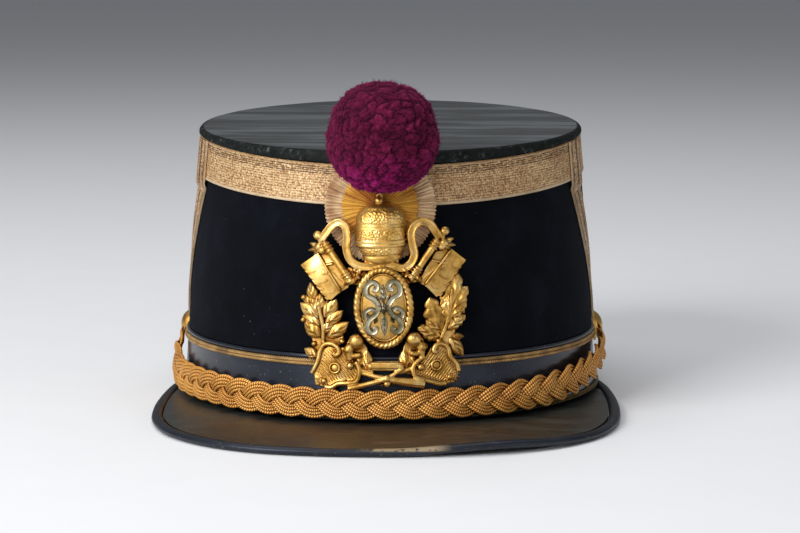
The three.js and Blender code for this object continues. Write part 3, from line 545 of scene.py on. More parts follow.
def side_lace(name, side):
    """Its section runs across the lace in rows of share and lift, with a raised cord at each edge."""
    bottom = BAND_TOP + 1.5
    section = [(0.0, 0.0), (0.0, 1.0), (0.04, 1.15), (0.1, 1.0), (0.5, 1.0), (0.9, 1.0)]
    section += [(0.96, 1.15), (1.0, 1.0), (1.0, 0.0)]
    section = np.array(section + section[:1])

    def rule(down, along):
        share, lift = picked(section, along)
        height = CROWN_HEIGHT + (bottom - CROWN_HEIGHT) * down
        front_angle = np.interp(height, SIDE_LACE_FRONT["height"], SIDE_LACE_FRONT["angle"])
        angle = np.radians(front_angle + SIDE_LACE_ACROSS * share)
        limit = top_height(angle) - skirt_depth(angle) - GAP
        step = np.clip((height - SIDE_LACE_STEP["height"]) / SIDE_LACE_STEP["length"], 0, 1)
        out = GAP + step * (LACE_THICKNESS + GAP) + lift * LACE_THICKNESS
        return on_side(side * angle, np.minimum(height, limit), out)

    return strip(name, 80, len(section) - 1, rule)


side_weave = gilt_lace("woven gilt side lace", 80.0, 20.0, (0.14, 0.78), (0.1, 0.12), 5)
dress(side_lace("side_lace_l", -1), side_weave, "lace", "side_lace_left")
dress(side_lace("side_lace_r", 1), side_weave, "lace", "side_lace_right")

# %% [markdown]
# Round the bottom runs a band of patent leather, cloth-backed and varnished until it mirrors the
# room, with a thin leather piping rolled over its upper edge. Its colour is a blue black.

# %% Patent leather band
def patent_leather(name, dark, light, worn=0.0, **finish):
    """Varnished leather: a hard clear coat over a soft, slightly uneven ground.

    Worn says how far it is rubbed through to the tan: in flecks all round, and in one patch on the
    upper edge in front, where fingers take hold."""
    material, tree, shader, place = new_material(name, **finish)
    low = add(tree, "Mapping", {"Vector": place, "Scale": (1.0, 1.0, 3.0)})
    cloudy = add(tree, "TexNoise", {"Vector": low, "Scale": 60, "Detail": 4, "Roughness": 0.6})
    base = add(tree, "ValToRGB", {"Fac": cloudy}, stops=[(0.3, dark), (0.75, light)])
    specks = add(tree, "TexNoise", {"Vector": place, "Scale": 900, "Detail": 2, "Roughness": 0.6})
    rubbed = add(tree, "ValToRGB", {"Fac": specks}, stops=[(0.66, "#000000"), (0.74, "#ffffff")])
    spotted = add(tree, "Mix", {0: rubbed, 6: base, 7: colour("#5c5d5f")}, 2, **BLEND)
    tan = add(tree, "ValToRGB", {"Fac": specks}, stops=[(0.68, "#000000"), (0.76, "#ffffff")])
    patches = add(tree, "TexNoise", {"Vector": place, "Scale": 420, "Detail": 2})
    rare = add(tree, "MapRange", {0: patches, 1: 0.5, 2: 0.62, 3: 0.0, 4: worn})
    flecks = add(tree, "Math", {0: tan, 1: rare}, operation="MULTIPLY")
    fingers = add(tree, "Mapping", {"Vector": place, "Location": (-0.8, 12.3, -0.2),
                                    "Scale": (90, 100, 100)})
    away = add(tree, "VectorMath", {0: fingers}, "Value", operation="LENGTH")
    near = add(tree, "MapRange", {0: away, 1: 0.9, 2: 1.5, 3: worn, 4: 0.0})
    scraped = add(tree, "MapRange", {0: patches, 1: 0.36, 2: 0.48})
    level = add(tree, "SeparateXYZ", {0: place}, 2)
    upper_edge = add(tree, "MapRange", {0: level, 1: 2.1 * MM, 2: 2.7 * MM})
    scraped_edge = add(tree, "Math", {0: scraped, 1: upper_edge}, operation="MULTIPLY")
    patch = add(tree, "Math", {0: near, 1: scraped_edge}, operation="MULTIPLY")
    bare = add(tree, "Math", {0: flecks, 1: patch}, operation="MAXIMUM")
    rubbed_through = add(tree, "Mix", {0: bare, 6: spotted, 7: colour("#a08c6c")}, 2, **BLEND)
    waves = add(tree, "TexNoise", {"Vector": low, "Scale": 90, "Detail": 3})
    soft = add(tree, "Bump", {"Height": waves, "Distance": 0.3 * MM, "Strength": 0.4})
    fine = add(tree, "Bump", {"Height": specks, "Distance": 0.03 * MM, "Strength": 0.5,
                              "Normal": soft})
    wire(tree, shader, Base_Color=rubbed_through, Normal=fine)
    return material


PIPING_WIDTH = 1.5
PIPING_RADIUS = 0.72


def leather_band():
    """A flat band with a round piping along its upper edge."""
    edge = BAND_TOP - PIPING_WIDTH
    face = [[0.0, level] for level in np.linspace(0.9, edge - 0.2, 14)]
    piping = arc(0.1, edge + PIPING_WIDTH / 2, PIPING_RADIUS, PIPING_RADIUS, -80, 90, 9)
    profile = [[-BAND_THICKNESS, 0.6], [-0.3, 0.6]] + face + [[-0.15, edge]] + piping
    return turned("patent_band", profile + [[-BAND_THICKNESS, BAND_TOP]], 256)


band_leather = patent_leather("patent leather", "#0b0e13", "#1c212c", Roughness=0.34,
                              Specular_Tint=colour("#bcc4da"), Coat_Weight=0.35, Coat_Roughness=0.16)
dress(leather_band(), band_leather, "band_leather", "leather_band")

# %% [markdown]
# Two gold braids lie on the band. Each is two fine cords woven side by side with a groove between,
# the kind that hatters call soutache. Its threads run slantwise towards the groove, so the stripes of
# the pattern lean one way on the upper cord and the other way on the lower one.

# %% Soutache braids
def soutache(name, dark, mid, light, length):
    """Flat gilt braid: threads lean to the groove, so the stripes make a fine herringbone."""
    material, tree, shader, place = new_material(name, Roughness=0.48, Metallic=0.35)
    uv = add(tree, "TexCoord", out="UV")
    along = add(tree, "SeparateXYZ", {0: uv}, 0)
    across = add(tree, "SeparateXYZ", {0: uv}, 1)
    from_middle = add(tree, "Math", {0: across, 1: 0.5}, operation="SUBTRACT")
    slant = add(tree, "Math", {0: from_middle}, operation="ABSOLUTE")
    # A thread is 0.45 mm wide, and is drawn at twice that so that it shows
    stripes = add(tree, "Math", {0: along, 1: length / 0.9}, operation="MULTIPLY")
    lean = add(tree, "Math", {0: slant, 1: 5.0, 2: stripes}, operation="MULTIPLY_ADD")
    height = ridges(tree, lean)
    # The ramp paints shade in the grooves between threads and a highlight on each thread
    tint = add(tree, "ValToRGB", {"Fac": height}, stops=[(0.0, dark), (0.5, mid), (1.0, light)])
    rubbed = [(0.35, "#7d7468"), (0.6, "#ffffff")]
    base = worn_in_patches(tree, place, tint, 120, 4, rubbed, 0.7)
    rise = add(tree, "Bump", {"Height": height, "Distance": 0.25 * MM, "Strength": 0.8})
    wire(tree, shader, Base_Color=base, Normal=rise)
    return material


def braid(name, bottom, top, thickness):
    """Two round cords side by side, on a flat back that lies on the band."""
    quarter = (top - bottom) / 4
    lower = arc(GAP + 0.2, bottom + quarter, thickness - 0.2, quarter, -90, 80, 6)
    upper = arc(GAP + 0.2, top - quarter, thickness - 0.2, quarter, -80, 90, 6)
    return turned(name, [[GAP, bottom]] + lower + upper + [[GAP, top]], 360)


upper_gold = soutache("gilt soutache", "#6a4420", "#bd8c4c", "#f0ca84", 580.0)
# The lower braid is given darker colours than the upper one
base_gold = soutache("darker soutache", "#33270f", "#76602c", "#ab914c", 590.0)
dress(braid("upper_braid", 20.2, 22.6, 1.0), upper_gold, "gold_cord", "upper_cord")
dress(braid("base_braid", 1.4, 3.0, 1.1), base_gold, "gold_cord", "base_cord")

# %% [markdown]
# The peak is stiff leather in the shape of a new moon, nearly flat, with a thin rolled binding sewn
# over its edge. Its outline is a smooth curve through a few points on each side. The right half of
# its edge has been bent up a little by the years.

# %% The peak's outline
PEAK_EDGE = [
    (83.4, 3.0), (86.6, -8.0), (88.8, -30.0), (89.2, -62.0), (86.5, -88.0),
    (78.5, -110.0), (64.0, -127.5), (46.0, -138.5), (24.0, -144.0),
]
PEAK_FRONT = (0.0, -145.5)
PEAK_LIFT = {"x": 42.0, "half_span": 42.0, "rise": 2.0}


def smooth_route(points, count):
    """Points evenly spaced on a curve through the given points, which rounds corners gently."""
    points = np.asarray(points, float)
    ends = np.vstack([2 * points[0] - points[1], points, 2 * points[-1] - points[-2]])
    pieces = []
    for four in zip(ends, ends[1:], ends[2:], ends[3:]):
        before, start, end, after = four
        steps = [np.linalg.norm(b - a) ** 0.5 for a, b in zip(four, four[1:])]
        leave = (start - before) / steps[0] - (end - before) / (steps[0] + steps[1])
        leave = (leave + (end - start) / steps[1]) * steps[1]
        arrive = (end - start) / steps[1] - (after - start) / (steps[1] + steps[2])
        arrive = (arrive + (after - end) / steps[2]) * steps[1]
        t = np.linspace(0, 1, 60, endpoint=False)[:, None]
        blend = (2 * t ** 3 - 3 * t ** 2 + 1) * start + (t ** 3 - 2 * t ** 2 + t) * leave
        pieces.append(blend + (3 * t ** 2 - 2 * t ** 3) * end + (t ** 3 - t ** 2) * arrive)
    dense = np.vstack(pieces + [points[-1:]])
    lengths = np.concatenate([[0], np.cumsum(np.linalg.norm(np.diff(dense, axis=0), axis=1))])
    wanted = np.linspace(0, lengths[-1], count)
    return np.stack([np.interp(wanted, lengths, dense[:, k]) for k in range(dense.shape[1])], axis=-1)


left_edge = [(-x, y) for x, y in PEAK_EDGE]
OUTLINE = smooth_route(left_edge + [PEAK_FRONT] + PEAK_EDGE[::-1], 801)
OUTLINE_IN = np.gradient(OUTLINE, axis=0)
OUTLINE_IN /= np.linalg.norm(OUTLINE_IN, axis=1, keepdims=True)
OUTLINE_IN = np.stack([-OUTLINE_IN[:, 1], OUTLINE_IN[:, 0]], axis=-1)
print("edge of the peak:", round(np.linalg.norm(np.diff(OUTLINE, axis=0), axis=1).sum()), "mm")


def edge_at(share):
    """The outline's point at a share of its length, and the way straight in from it."""
    at = np.clip(share, 0, 1) * (len(OUTLINE) - 1)
    whole = np.arange(len(OUTLINE))
    point = np.stack([np.interp(at, whole, OUTLINE[:, k]) for k in (0, 1)], axis=-1)
    inward = np.stack([np.interp(at, whole, OUTLINE_IN[:, k]) for k in (0, 1)], axis=-1)
    return point, inward


def edge_level(point):
    """The height of the surface that the hat stands on, and the lift of the peak's right half."""
    standing = -(RIM_HALF_LENGTH - point[:, 1]) * math.tan(REST_TILT)
    reach = np.clip(np.abs(point[:, 0] - PEAK_LIFT["x"]) / PEAK_LIFT["half_span"], 0, 1)
    return standing + PEAK_LIFT["rise"] * np.cos(reach * math.pi / 2) ** 2


# %% [markdown]
# The peak's varnish has gone brown and rubbed through in the middle, where fingers take the hat off,
# and fine scratches run across it. The worn patch is placed by its distance from the middle of the
# peak, so it stays where hands would touch.

# %% Worn peak leather
def worn_peak_leather():
    """Old varnish over brown leather: black at the edges, rubbed to brown in the middle."""
    material, tree, shader, place = new_material(
        "worn patent leather", Coat_Weight=0.2, Coat_Roughness=0.3)
    long_way = add(tree, "Mapping", {"Vector": place, "Scale": (1.0, 2.2, 1.0)})
    blotch = add(tree, "TexNoise", {"Vector": long_way, "Scale": 55, "Detail": 7, "Roughness": 0.7})
    around = add(tree, "Mapping", {"Vector": place, "Location": (0.12, 3.1, 0.0),
                                   "Scale": (12.0, 30.0, 1.0)})
    away = add(tree, "VectorMath", {0: around}, "Value", operation="LENGTH")
    near = add(tree, "MapRange", {0: away, 1: 0.45, 2: 1.2, 3: 1.0, 4: 0.0})
    patchy = add(tree, "MapRange", {0: blotch, 1: 0.35, 2: 0.6})
    amount = add(tree, "Math", {0: near, 1: patchy}, operation="MULTIPLY")
    black = add(tree, "ValToRGB", {"Fac": blotch}, stops=[(0.3, "#131615"), (0.7, "#31352f")])
    brown = add(tree, "ValToRGB", {"Fac": blotch},
                stops=[(0.35, "#170f0a"), (0.5, "#2e1f14"), (0.7, "#4d3826")])
    worn = add(tree, "Mix", {0: amount, 6: black, 7: brown}, 2, **BLEND)
    slanting = add(tree, "Mapping", {"Vector": place, "Rotation": (0.0, 0.0, 0.9),
                                     "Scale": (30.0, 900.0, 1.0)})
    scratch = add(tree, "TexNoise", {"Vector": slanting, "Scale": 1.0, "Detail": 2, "Roughness": 0.7})
    lines = add(tree, "ValToRGB", {"Fac": scratch}, stops=[(0.62, "#000000"), (0.72, "#a8a8a8")])
    scratched = add(tree, "Mix", {0: lines, 6: worn, 7: colour("#8a7a68")}, 2, **BLEND)
    rough = add(tree, "MapRange", {0: blotch, 1: 0.3, 2: 0.7, 3: 0.3, 4: 0.6})
    cuts = add(tree, "Bump", {"Height": scratch, "Distance": 0.06 * MM, "Strength": 0.5})
    grain = add(tree, "TexNoise", {"Vector": place, "Scale": 520, "Detail": 4, "Roughness": 0.6})
    grained = add(tree, "Bump", {"Height": grain, "Distance": 0.08 * MM, "Strength": 0.6,
                                 "Normal": cuts})
    wire(tree, shader, Base_Color=scratched, Roughness=rough, Normal=grained)
    return material


# %% [markdown]
# The peak's leather is one closed section, carried along the outline from one end to the other. It
# goes from under the rim out to the binding, and between the two it is crowned and a little dented.

# %% Peak
PEAK_TUCK = 2.5
PEAK_THICKNESS = 2.0
BINDING_WIDTH = 4.2
BINDING_THICKNESS = 3.0
PEAK_ENDS = {"share": 0.058, "angle": math.radians(82)}
PEAK_EDGE_HEIGHT = 2.6
PEAK_CROWNING, PEAK_DENTS = 0.6, 0.12


def peak_leather():
    """Leather from under the rim out to the binding, a little crowned and dented."""
    upper = [(reach, 1.0) for reach in np.linspace(0, 1, 17)]
    lower = [(reach, 0.0) for reach in np.linspace(1, 0, 9)]
    section = np.array(upper + lower + upper[:1])

    def rule(along, round_section):
        across, up = picked(section, round_section)
        share = PEAK_ENDS["share"] + (1 - 2 * PEAK_ENDS["share"]) * along
        angle = PEAK_ENDS["angle"] * (2 * along - 1)
        inner = on_side(angle, 0.0, -PEAK_TUCK)
        inner[:, 2] = -GAP
        edge, inward = edge_at(share)
        level = edge_level(edge) + PEAK_EDGE_HEIGHT
        outer = np.column_stack([edge + inward * (BINDING_WIDTH + GAP), level])
        place = inner + (outer - inner) * across[:, None]
        between = np.sin(math.pi * across)
        crowning = PEAK_CROWNING * between * np.sin(math.pi * along)
        dents = PEAK_DENTS * np.sin(place[:, 0] / 9 + 2 * np.sin(place[:, 1] / 17)) * between
        place[:, 2] += crowning + dents + (up - 1) * PEAK_THICKNESS
        return place

    return strip("peak_leather", 180, len(section) - 1, rule)


dress(peak_leather(), worn_peak_leather(), "peak_leather", "peak")

# %% [markdown]
# The binding is a strip of soft leather rolled over the cut edge of the peak. It is an oval section
# carried along the same outline, and it thins to nothing where the outline meets the body.

# %% Peak binding
def rolled_binding():
    """A flattened roll along the peak's outline, which thins to nothing at both ends."""
    turns = np.linspace(0, TURN, 19)
    section = np.stack([0.5 + 0.5 * np.cos(turns), 0.5 + 0.5 * np.sin(turns)], axis=-1)

    def rule(along, round_section):
        inset, up = picked(section, round_section)
        edge, inward = edge_at(along)
        reach = np.hypot(edge[:, 0] / RIM_HALF_WIDTH, edge[:, 1] / RIM_HALF_LENGTH)
        clearance = (1 - 1 / reach) * np.hypot(edge[:, 0], edge[:, 1]) - GAP
        ended = (along < 1e-9) | (along > 1 - 1e-9)
        width = np.minimum(BINDING_WIDTH, clearance)
        inset, up = np.where(ended, 0.5, inset), np.where(ended, 0.5, up)
        place = edge + inward * (inset * width)[:, None]
        return np.column_stack([place, edge_level(edge) + up * BINDING_THICKNESS])

    return strip("peak_edge", 320, len(section) - 1, rule, 70)


binding_leather = patent_leather(
    "rolled binding leather", "#0b0d11", "#20252e", 0.85, Roughness=0.46,
    Specular_Tint=colour("#c4cadc"), Coat_Weight=0.12, Coat_Roughness=0.3)
dress(rolled_binding(), binding_leather, "binding_leather", "peak_binding")

# %% [markdown]
# The chin cord is a flat plait of three strands, and each strand is four gimp cords side by side:
# metal thread wound round a cotton core. A strand swings up and down across the plait as it goes
# along, and it stands forward as it crosses over one neighbour and back as it passes under the other,
# so forward is the sine of twice the swing. Each cord is a tube bent along that path.

# %% Gimp cord of orange-gold thread
def gimp_thread():
    """Gilt wire wound round a cotton core: each turn catches a small light of its own, from the bump
    and from a painted highlight on its crest, with painted shade in its groove and in the gaps between
    cords.
    """
    material, tree, shader, place = new_material("gimp of gilt thread", Roughness=0.42, Metallic=0.3)
    uv = add(tree, "TexCoord", out="UV")
    along = add(tree, "SeparateXYZ", {0: uv}, 0)
    across = add(tree, "SeparateXYZ", {0: uv}, 1)
    winds = add(tree, "Math", {0: along, 1: 300 / 0.8, 2: across}, operation="MULTIPLY_ADD")
    height = ridges(tree, winds)
    # The ramp paints shade in the grooves between the turns of wire and a highlight on their crests
    gold = add(tree, "ValToRGB", {"Fac": height},
               stops=[(0.0, "#884810"), (0.45, "#de9032"), (1.0, "#ffcc6e")])
    # Ambient occlusion paints dark shade into the gaps between the cords, where they touch
    near = add(tree, "AmbientOcclusion", {"Distance": 1.6 * MM}, "AO", samples=6, only_local=True)
    gaps = add(tree, "ValToRGB", {"Fac": near}, stops=[(0.3, "#3a1c08"), (0.75, "#ffffff")])
    shaded = add(tree, "Mix", {0: 0.9, 6: gold, 7: gaps}, 2, **MULTIPLY)
    dulled = [(0.35, "#cdb48c"), (0.6, "#ffffff")]
    base = worn_in_patches(tree, place, shaded, 55, 4, dulled, 0.6)
    rise = add(tree, "Bump", {"Height": height, "Distance": 0.14 * MM, "Strength": 0.8})
    wire(tree, shader, Base_Color=base, Normal=rise)
    return material


# %% [markdown]
# The cords could be drawn as curves one by one, but the path of all twelve is one rule, with the
# strand and the cord's place in it as numbers. A short table gives the plait's height and width at
# each angle round the hat, because it rises and narrows towards its ends.

# %% Plaited chin cord
PLAIT_BACK = 1.7
PLAIT_PERIOD = 30.0
PLAIT_ROUTE = {
    "angle": [-92, -86, -80, -70, -55, -30, 0, 30, 45, 57, 69, 80, 88, 92],
    "centre": [20.5, 14.5, 9.6, 7.8, 7.7, 7.2, 7.1, 7.6, 8.3, 10.0, 12.5, 15.8, 19.5, 21.5],
    "half": [2.2, 4.4, 6.0, 6.2, 6.1, 5.8, 5.3, 5.7, 6.2, 6.1, 5.9, 5.2, 3.6, 2.2],
}
MEAN_RADIUS = (RIM_HALF_WIDTH + RIM_HALF_LENGTH) / 2
STRAND_SWING = 0.6
STRANDS, CORDS_IN_STRAND = 3, 4
# A cord's spacing is a share of the plait's half height, and its radius a share of that spacing
CORD_PITCH, CORD_RADIUS = 0.2, 0.56
# In degrees either way from the front
PLAIT_REACH = 92
STRAND_DEPTH = {"middle": 2.1, "swing": 1.05, "hump": 0.28}


def plait_cord(strand, cord):
    """One gimp cord of a strand: its middle line, then a tube round that line."""
    def rule(along, around):
        degrees = -PLAIT_REACH + 2 * PLAIT_REACH * along
        length = np.radians(degrees) * MEAN_RADIUS
        centre = np.interp(degrees, PLAIT_ROUTE["angle"], PLAIT_ROUTE["centre"])
        half = np.interp(degrees, PLAIT_ROUTE["angle"], PLAIT_ROUTE["half"])
        phase = TURN * (length / PLAIT_PERIOD + strand / STRANDS)
        swing = STRAND_SWING * half
        rise = swing * TURN / PLAIT_PERIOD * np.cos(phase)
        lean = np.hypot(1, rise)
        pitch = CORD_PITCH * half
        place_in_strand = cord - (CORDS_IN_STRAND - 1) / 2
        offset = place_in_strand * pitch
        depth = np.minimum(1, half / 5)
        hump = STRAND_DEPTH["hump"] * (1 - (place_in_strand / 1.5) ** 2)
        forward = STRAND_DEPTH["middle"] + STRAND_DEPTH["swing"] * np.sin(2 * phase) + hump
        out = PLAIT_BACK + depth * forward
        # The cords are drawn in at the very ends, where the buttons hold them
        radius = CORD_RADIUS * pitch * (1 - 0.4 * (half < 2.3))
        turn = TURN * around
        side = offset + radius * np.cos(turn)
        height = centre + swing * np.sin(phase) + side / lean
        moved = (length - side * rise / lean) / MEAN_RADIUS
        return on_side(moved, height, out + radius * np.sin(turn))

    return strip(f"gimp_{strand}_{cord}", 420, 8, rule, 80)


def chin_plait():
    cords = [plait_cord(strand, cord) for strand in range(STRANDS) for cord in range(CORDS_IN_STRAND)]
    return joined("plaited_chin_cord", cords)


dress(chin_plait(), gimp_thread(), "plait", "chin_plait")

# %% [markdown]
# The buttons and the badge are gilded brass. An ambient occlusion node finds the hollows and paints
# brown shade into them, and a noise makes the gold itself uneven.

# %% Gilt brass
def gilt_brass(name, hollow, mid, light, dirt_and_shade, rough):
    """Fire gilding over stamped brass: bright where it is rubbed, and painted brown in the hollows as
    shade.
    """
    material, tree, shader, place = new_material(name, Metallic=1.0)
    tarnish = add(tree, "TexNoise", {"Vector": place, "Scale": 150, "Detail": 5, "Roughness": 0.65})
    gold = add(tree, "ValToRGB", {"Fac": tarnish}, stops=[(0.3, hollow), (0.46, mid), (0.64, light)])
    # Ambient occlusion paints brown shade into the hollows of the relief
    near = add(tree, "AmbientOcclusion", {"Distance": 1.8 * MM}, "AO", samples=8, only_local=True)
    painted_hollow_shade = add(tree, "ValToRGB", {"Fac": near},
                       stops=[(0.3, dirt_and_shade), (0.6, "#b08a58"), (0.9, "#ffffff")])
    base = add(tree, "Mix", {0: 1.0, 6: gold, 7: painted_hollow_shade}, 2, **MULTIPLY)
    dullness = add(tree, "MapRange", {0: tarnish, 1: 0.3, 2: 0.7, 3: rough + 0.2, 4: rough - 0.04})
    dents = add(tree, "TexNoise", {"Vector": place, "Scale": 260, "Detail": 3})
    soft = add(tree, "Bump", {"Height": dents, "Distance": 0.15 * MM, "Strength": 0.5})
    scuffs = add(tree, "TexNoise", {"Vector": place, "Scale": 900, "Detail": 3})
    fine = add(tree, "Bump", {"Height": scuffs, "Distance": 0.04 * MM, "Strength": 0.5,
                              "Normal": soft})
    wire(tree, shader, Base_Color=base, Roughness=dullness, Normal=fine)
    return material


gilt = gilt_brass("stamped gilt brass", "#8c662c", "#cc9e50", "#e8c37c", "#2c1a08", 0.33)
print("made", gilt.name)

# %% [markdown]
# A plain gilt button on each side holds the plait's ends. It is modelled as a turner would make it:
# a disc is pulled up and drawn in, ring by ring, until it is a dome with a rim.

# %% Side buttons
BUTTON = {"angle": math.radians(97.6), "height": 21.5, "radius": 6.5, "out": 1.7}
# Rows of how far a ring is pulled up, and its radius as a share of the button's
BUTTON_RINGS = [
    (0.6, 1.0), (0.3, 0.97), (0.1, 0.9), (0.0, 0.84), (0.7, 0.8),
    (0.9, 0.66), (0.7, 0.5), (0.45, 0.32), (0.25, 0.14),
]


def side_button(name, side):
    """A dome drawn up ring by ring, then turned to face straight out from the hat."""
    nothing_selected()
    bpy.ops.mesh.primitive_circle_add(vertices=48, radius=BUTTON["radius"], fill_type="NGON")
    piece = bpy.context.object
    piece.name = name
    open_for_edits(piece)
    before = 1.0
    for rise, reach in BUTTON_RINGS:
        bpy.ops.mesh.extrude_region_move(TRANSFORM_OT_translate={"value": (0, 0, rise)})
        bpy.ops.transform.resize(value=(reach / before, reach / before, 1))
        before = reach
    bpy.ops.object.mode_set(mode="OBJECT")
    angle = side * BUTTON["angle"]
    centre = on_side(angle, BUTTON["height"], BUTTON["out"])
    lean = (RIM_HALF_WIDTH - TOP_HALF_WIDTH) / CROWN_HEIGHT
    outward = Vector((side, 0, lean)).normalized()
    turning = np.array(outward.to_track_quat("Z", "Y").to_matrix())
    move_points(piece, lambda points: settled(points @ turning.T + centre))
    return finish_mesh(piece, 40)


dress(side_button("gilt_button_l", -1), gilt, "gilt", "button_left")
dress(side_button("gilt_button_r", 1), gilt, "gilt", "button_right")

# %% [markdown]
# The cockade is old ribbed silk, whose streaks run outwards from its middle like spokes. The disc is
# unwrapped round and outwards, so a noise that is stretched outwards makes such streaks.

# %% Ribbed silk
def ribbed_silk(name, codes, shade):
    """Corded silk: each pleat shows a few dark and light ribs that run out from the middle."""
    material, tree, shader, place = new_material(
        name, Roughness=0.55, Specular_IOR_Level=0.3, Sheen_Weight=0.15, Sheen_Roughness=0.4)
    uv = add(tree, "TexCoord", out="UV")
    spokes = add(tree, "Mapping", {"Vector": uv, "Scale": (90.0, 0.35, 0.0)})
    streak = add(tree, "TexNoise", {"Vector": spokes, "Scale": 2.2, "Detail": 4, "Roughness": 0.75})
    base = add(tree, "ValToRGB", {"Fac": streak},
               stops=[(0.34, codes[0]), (0.46, codes[1]), (0.66, codes[2])])
    silk = worn_in_patches(tree, place, base, 110, 3, [(0.35, shade), (0.6, "#ffffff")], 0.8)
    ribs = add(tree, "Bump", {"Height": streak, "Distance": 0.3 * MM, "Strength": 0.7})
    wire(tree, shader, Base_Color=silk, Normal=ribs)
    return material


# %% [markdown]
# The cockade is a strip of ribbed silk, pleated round a ring, with a smaller gold disc gathered over
# its middle. The pleats are folds in the mesh: the strip's height goes up and down as it goes round,
# and the outer edge goes in and out with it, which gives the fine teeth of the edge.

# %% Cockade
COCKADE = {"x": -1.4, "height": 79.0, "radius": 20.6, "inner": 14.2, "back": 2.9}
RIBBON_PLEATS, MIDDLE_PLEATS = 90, 46


def pleated_disc(name, rows, pleats, fold, bite):
    """A disc of folded silk: rows of radius, height and how much of the fold they show."""
    rows = np.array(rows + rows[:1])

    def rule(around, along):
        radius, up, share = picked(rows, along)
        turn = TURN * around
        zigzag = 2 * np.abs(((around * pleats) % 1) - 0.5)
        wander = 0.5 * np.sin(7 * turn + 1) + 0.5 * np.sin(17 * turn)
        radius = radius * (1 - bite * share * zigzag)
        lift = fold * share * (zigzag - 0.5 + 0.35 * wander)
        x = COCKADE["x"] + radius * np.sin(turn)
        height = COCKADE["height"] - radius * np.cos(turn)
        return on_front(x, height, np.maximum(up + lift, 0.0), COCKADE["back"])

    return strip(name, 6 * pleats, len(rows) - 1, rule, 30)


def cockade_rows(inner, outer, low, high, steps):
    """Rows of radius, height and share of the fold, from the inside over the face to the edge."""
    face = [(radius, high, 1.0) for radius in np.linspace(inner, outer - 0.4, steps)]
    return [(inner, low, 0.0)] + face + [(outer, high - 0.35, 1.0), (outer - 0.2, low, 0.6)]


cream_silk = ribbed_silk("ribbed cream silk", ["#8e6848", "#ccac84", "#e8d0a8"], "#b08a6c")
gold_silk = ribbed_silk("gathered gold silk", ["#4e2a0a", "#c88c28", "#eabc52"], "#c08c40")
ribbon_rows = cockade_rows(9.0, COCKADE["radius"], 0.0, 1.0, 10)
middle_rows = cockade_rows(0.0, COCKADE["inner"], 0.75, 1.55, 12)
dress(pleated_disc("cockade_ribbon", ribbon_rows, RIBBON_PLEATS, 0.55, 0.035), cream_silk,
      "cockade_silk", "cockade")
dress(pleated_disc("cockade_middle", middle_rows, MIDDLE_PLEATS, 0.35, 0.05), gold_silk,
      "cockade_silk", "cockade")

# %% [markdown]
# The pompom is cut wool yarn. From near by it is a crowd of small clumps with dark gaps between, so a
# fine ball is pushed out round many centres: a point's height comes from how far it is from the
# nearest centre compared with the next one, which leaves a groove along every border. Seven
# thousand short hairs soften its outline.

# %% Wool pompom
POMPOM = {"x": -0.1, "y": -108.0, "height": 105.5, "radius": 20.1}
CLUMPS = {"count": 230, "jitter": 0.07, "ruffle": 0.035, "groove": 0.09, "low": 0.55, "rise": 1.6}
CURLS = {"count": 1500, "jitter": 0.03, "ruffle": 0.02, "groove": 0.03, "low": 0.2, "rise": 0.7}
HAIRS, HAIR_WIDTH, HAIR_POINTS = 7000, 0.07, 7


def even_directions(count, jitter, random):
    """Directions spread evenly over a ball by the golden angle, then moved a little at random."""
    index = np.arange(count)
    up = 1 - 2 * (index + 0.5) / count
    turn = index * math.pi * (3 - math.sqrt(5))
    ring = np.sqrt(1 - up ** 2)
    spread = np.stack([ring * np.cos(turn), ring * np.sin(turn), up], axis=-1)
    spread += random.normal(0, jitter, spread.shape)
    return spread / np.linalg.norm(spread, axis=1, keepdims=True)


def clump_height(directions, centres, sharp, heights):
    """How high each direction stands, from its nearest and next nearest centre."""
    near = np.empty(len(directions))
    which = np.empty(len(directions), int)
    for start in range(0, len(directions), 4000):
        part = slice(start, start + 4000)
        gaps = np.arccos(np.clip(directions[part] @ centres.T, -1, 1))
        order = np.argpartition(gaps, 1, axis=1)[:, :2]
        pair = np.take_along_axis(gaps, order, axis=1)
        near[part] = np.abs(pair[:, 1] - pair[:, 0])
        which[part] = order[np.arange(len(order)), np.argmin(pair, axis=1)]
    return (1 - np.exp(-near / sharp)) * heights[which]


def ruffled(directions, amount, random):
    """Moves directions by soft waves of random ways, so that no border stays straight."""
    moved = directions.copy()
    for step in range(14):
        way = random.normal(0, 1, 3)
        wave = np.sin(directions @ (way * (5 + 1.5 * step)) + random.uniform(0, TURN))
        moved += amount / (1 + 0.25 * step) * wave[:, None] * random.normal(0, 1, 3)
    return moved / np.linalg.norm(moved, axis=1, keepdims=True)


def clear_of_hat(points):
    """Keeps points in front of the cockade and of the tongue behind the pompom."""
    behind = np.where(points[:, 2] > COCKADE["height"] + COCKADE["radius"] + GAP, 2.9, 4.9)
    wall = on_front(points[:, 0], points[:, 2], 0.0, behind)[:, 1]
    points[:, 1] = np.minimum(points[:, 1], wall)
    return points


def hair_mesh(roots, directions, bends, lengths, thin):
    """Short bent three-sided hairs, each with one ring at its root, one half way and a point."""
    sides = np.cross(directions, [0.3, 0.5, 0.8])
    sides /= np.linalg.norm(sides, axis=1, keepdims=True)
    across = np.cross(directions, sides)
    rings = []
    for share, width in ((0.0, 1.0), (0.55, 0.8)):
        middle = roots + (directions + bends * share * (1 - share) * 2) * (lengths * share)[:, None]
        for corner in range(3):
            turn = TURN * corner / 3
            rings.append(middle + thin * width * (sides * math.cos(turn) + across * math.sin(turn)))
    rings.append(roots + (directions - 0.5 * bends) * lengths[:, None])
    points = np.stack(rings, axis=1).reshape(-1, 3)
    faces = []
    for first in range(0, len(points), HAIR_POINTS):
        for corner in range(3):
            after = (corner + 1) % 3
            faces.append((first + corner, first + after, first + 3 + after, first + 3 + corner))
            faces.append((first + 3 + corner, first + 3 + after, first + 6))
        faces.append((first + 2, first + 1, first))
    return points, faces


